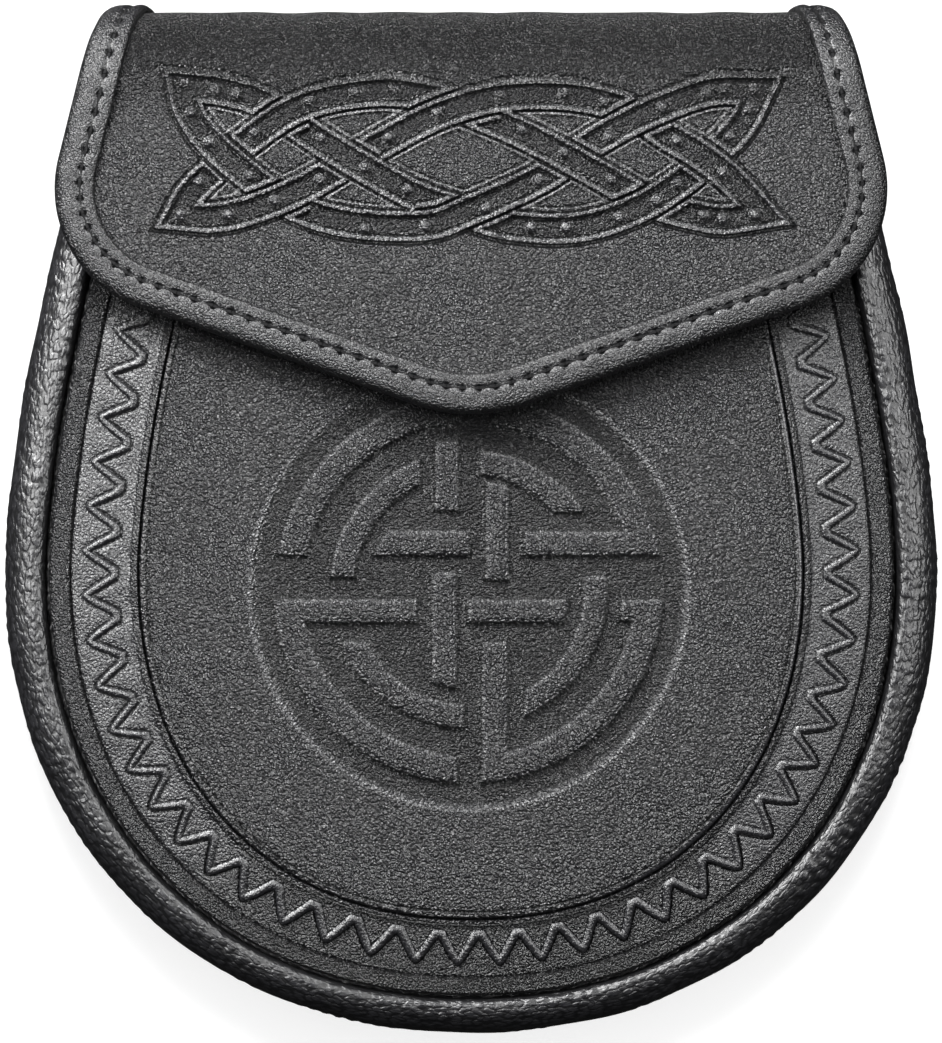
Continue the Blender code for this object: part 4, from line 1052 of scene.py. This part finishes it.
hole_at = np.arange(1, stitches) * pitch
hole_out = unit(at_distance(hole_at, walked, edge_out))
on_line = at_distance(hole_at, walked, edge) - hole_out * STITCH_LINE
both_faces, cells = [], []
for face_side in (1.0, -1.0):
    level = face_side * BINDING_FACE
    low = on_flap(on_line, level)
    up = unit(on_flap(on_line, level + face_side) - low)
    sideways = unit(on_flap(on_line - hole_out * 0.5, level) - low)
    got, got_faces = thread_stitches(low, sideways, up)
    cells += [[len(got) * len(both_faces) + i for i in face] for face in got_faces]
    both_faces.append(got)
linen, thread_shader = new_material("waxed linen thread", Base_Color=colour("050506"),
                                    Roughness=0.8, Specular_IOR_Level=0.15)
thread_place = add_node(linen, "TexCoord").outputs["Object"]
# Two plies twisted at a 1.1 mm lay.
twist = add_node(linen, "TexWave", {"Vector": thread_place, "Scale": 1000.0 / 1.1 / 6.28,
                                    "Distortion": 1.0, "Detail Scale": 2.0},
                 bands_direction="DIAGONAL")
ply = add_node(linen, "Bump", {"Height": twist.outputs["Fac"], "Distance": 0.0001})
linen.node_tree.links.new(ply.outputs["Normal"], thread_shader.inputs["Normal"])
stitching = make_piece("flap_stitching", np.concatenate(both_faces), cells, linen,
                       "binding_leather")


# ---------------------------------------------------------------- back, belt loops and stud
# The back is plain 2.5 mm cowhide and the loops are 2 mm straps of the same, all of it hidden in
# the photograph and left as the CAD model has it. The press stud is blackened brass.

back_leather = leather("cowhide, plain back", grain=0.9, depth=0.1, roughness=0.46,
                       light="333336", dark="060607")
# The CAD nodes have no place on the hide of their own, so theirs is where they lie.
back_tree = back_leather.node_tree
place_mm = add_node(back_leather, "VectorMath",
                    {0: add_node(back_leather, "TexCoord").outputs["Object"], 1: (1000.0,) * 3},
                    operation="MULTIPLY")
for link in list(back_tree.links):
    if getattr(link.from_node, "attribute_name", "") == "lay":
        back_tree.links.new(place_mm.outputs["Vector"], link.to_socket)
gunmetal, stud_shader = new_material("blackened brass", Base_Color=colour("3a3a3d"),
                                     Metallic=1.0)
stud_place = add_node(gunmetal, "TexCoord").outputs["Object"]
brushed = add_node(gunmetal, "TexNoise", {"Vector": stud_place, "Scale": 1500.0})
wear = add_node(gunmetal, "MapRange", {"Value": brushed.outputs["Fac"], "To Min": 0.25,
                                       "To Max": 0.45})
gunmetal.node_tree.links.new(wear.outputs["Result"], stud_shader.inputs["Roughness"])
for node, material in (("back_panel", back_leather), ("belt_loop_left", back_leather),
                       ("belt_loop_right", back_leather), ("snap_stud", gunmetal)):
    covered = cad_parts[node].data.materials
    covered.clear()
    covered.append(material)


# ---------------------------------------------------------------- floor, light and camera
# A pale matt floor with its own wash of light, a wide softbox overhead, a smaller one at the
# left, a strip at the right, and strips that rake the leather from the upper left and the upper
# right. The camera looks straight down.

FACE_LEVEL = 0.03            # metres: the lights are aimed at this height, and there the picture
PICTURE_HEIGHT = 0.2086      # is this high, and has its middle at this y
PICTURE_MIDDLE_Y = -0.0007
CAMERA_HEIGHT = 1.5

floor_mesh = bpy.data.meshes.new("floor")
floor_mesh.from_pydata([(-4, -4, 0), (4, -4, 0), (4, 4, 0), (-4, 4, 0)], [], [(0, 1, 2, 3)])
floor = bpy.data.objects.new("floor", floor_mesh)
bpy.context.collection.objects.link(floor)
matt = new_material("matt white board", Base_Color=colour("f4f4f4"), Roughness=0.9)[0]
floor_mesh.materials.append(matt)
floor.visible_diffuse = floor.visible_glossy = False         # the board doesn't light the pouch


def light_group(name, state, *members):
    """A collection for light linking: its members are the only ones lit, or are left unlit."""
    group = bpy.data.collections.new(name)
    for member in members:
        group.objects.link(member)
    for entry in group.collection_objects:
        entry.light_linking.link_state = state
    return group


def softbox(name, bearing, polar, distance, size, power, lit, blockers=None):
    """A rectangular area light aimed at the pouch's middle.

    bearing is in degrees from image-up, clockwise, and polar in degrees from straight above. It
    shines on the light group lit, and only blockers, if given, cast shadows in it.
    """
    lamp = bpy.data.lights.new(name, "AREA")
    lamp.shape = "RECTANGLE"
    lamp.size, lamp.size_y = size
    lamp.energy = power
    holder = bpy.data.objects.new(name, lamp)
    bpy.context.collection.objects.link(holder)
    turn, lean = math.radians(bearing), math.radians(polar)
    away = Vector((math.sin(turn) * math.sin(lean), math.cos(turn) * math.sin(lean),
                   math.cos(lean)))
    holder.location = away * distance + Vector((0.0, 0.0, FACE_LEVEL))
    holder.rotation_euler = away.to_track_quat("Z", "Y").to_euler()
    holder.light_linking.receiver_collection = lit
    if blockers:
        holder.light_linking.blocker_collection = blockers


on_floor = light_group("lit floor", "INCLUDE", floor)
on_pouch = light_group("not the floor", "EXCLUDE", floor)
softbox("floor wash", 0.0, 0.0, 2.0, (3.0, 3.0), 75.0, on_floor, on_floor)
softbox("floor light", 0.0, 28.0, 2.0, (0.6, 0.6), 25.0, on_floor)
softbox("overhead softbox", 0.0, 19.0, 1.6, (1.5, 0.42), 11.0, on_pouch)
softbox("left softbox", -68.0, 36.0, 1.0, (0.5, 0.75), 18.5, on_pouch)
softbox("raking strip", -34.0, 62.0, 0.66, (0.6, 0.23), 19.5, on_pouch)
softbox("right strip", 85.0, 46.0, 1.6, (0.4, 1.2), 22.0, on_pouch)
softbox("right raking strip", 44.0, 60.0, 0.9, (0.5, 0.2), 9.0, on_pouch)
world = bpy.data.worlds.new("studio")
world.use_nodes = True
sky = world.node_tree.nodes["Background"].inputs
sky["Color"].default_value, sky["Strength"].default_value = (1.0, 1.0, 1.0, 1.0), 0.02
bpy.context.scene.world = world
bpy.context.scene.view_settings.view_transform = "Standard"

lens = bpy.data.cameras.new("camera")
lens.type = "PERSP"
camera = bpy.data.objects.new("camera", lens)
bpy.context.collection.objects.link(camera)
lens.sensor_width = 36.0
lens.lens = lens.sensor_width * (CAMERA_HEIGHT - FACE_LEVEL) / PICTURE_HEIGHT
lens.clip_start = 0.05
lens.clip_end = 20.0
camera.location = (0.0, PICTURE_MIDDLE_Y, CAMERA_HEIGHT)
bpy.context.scene.camera = camera
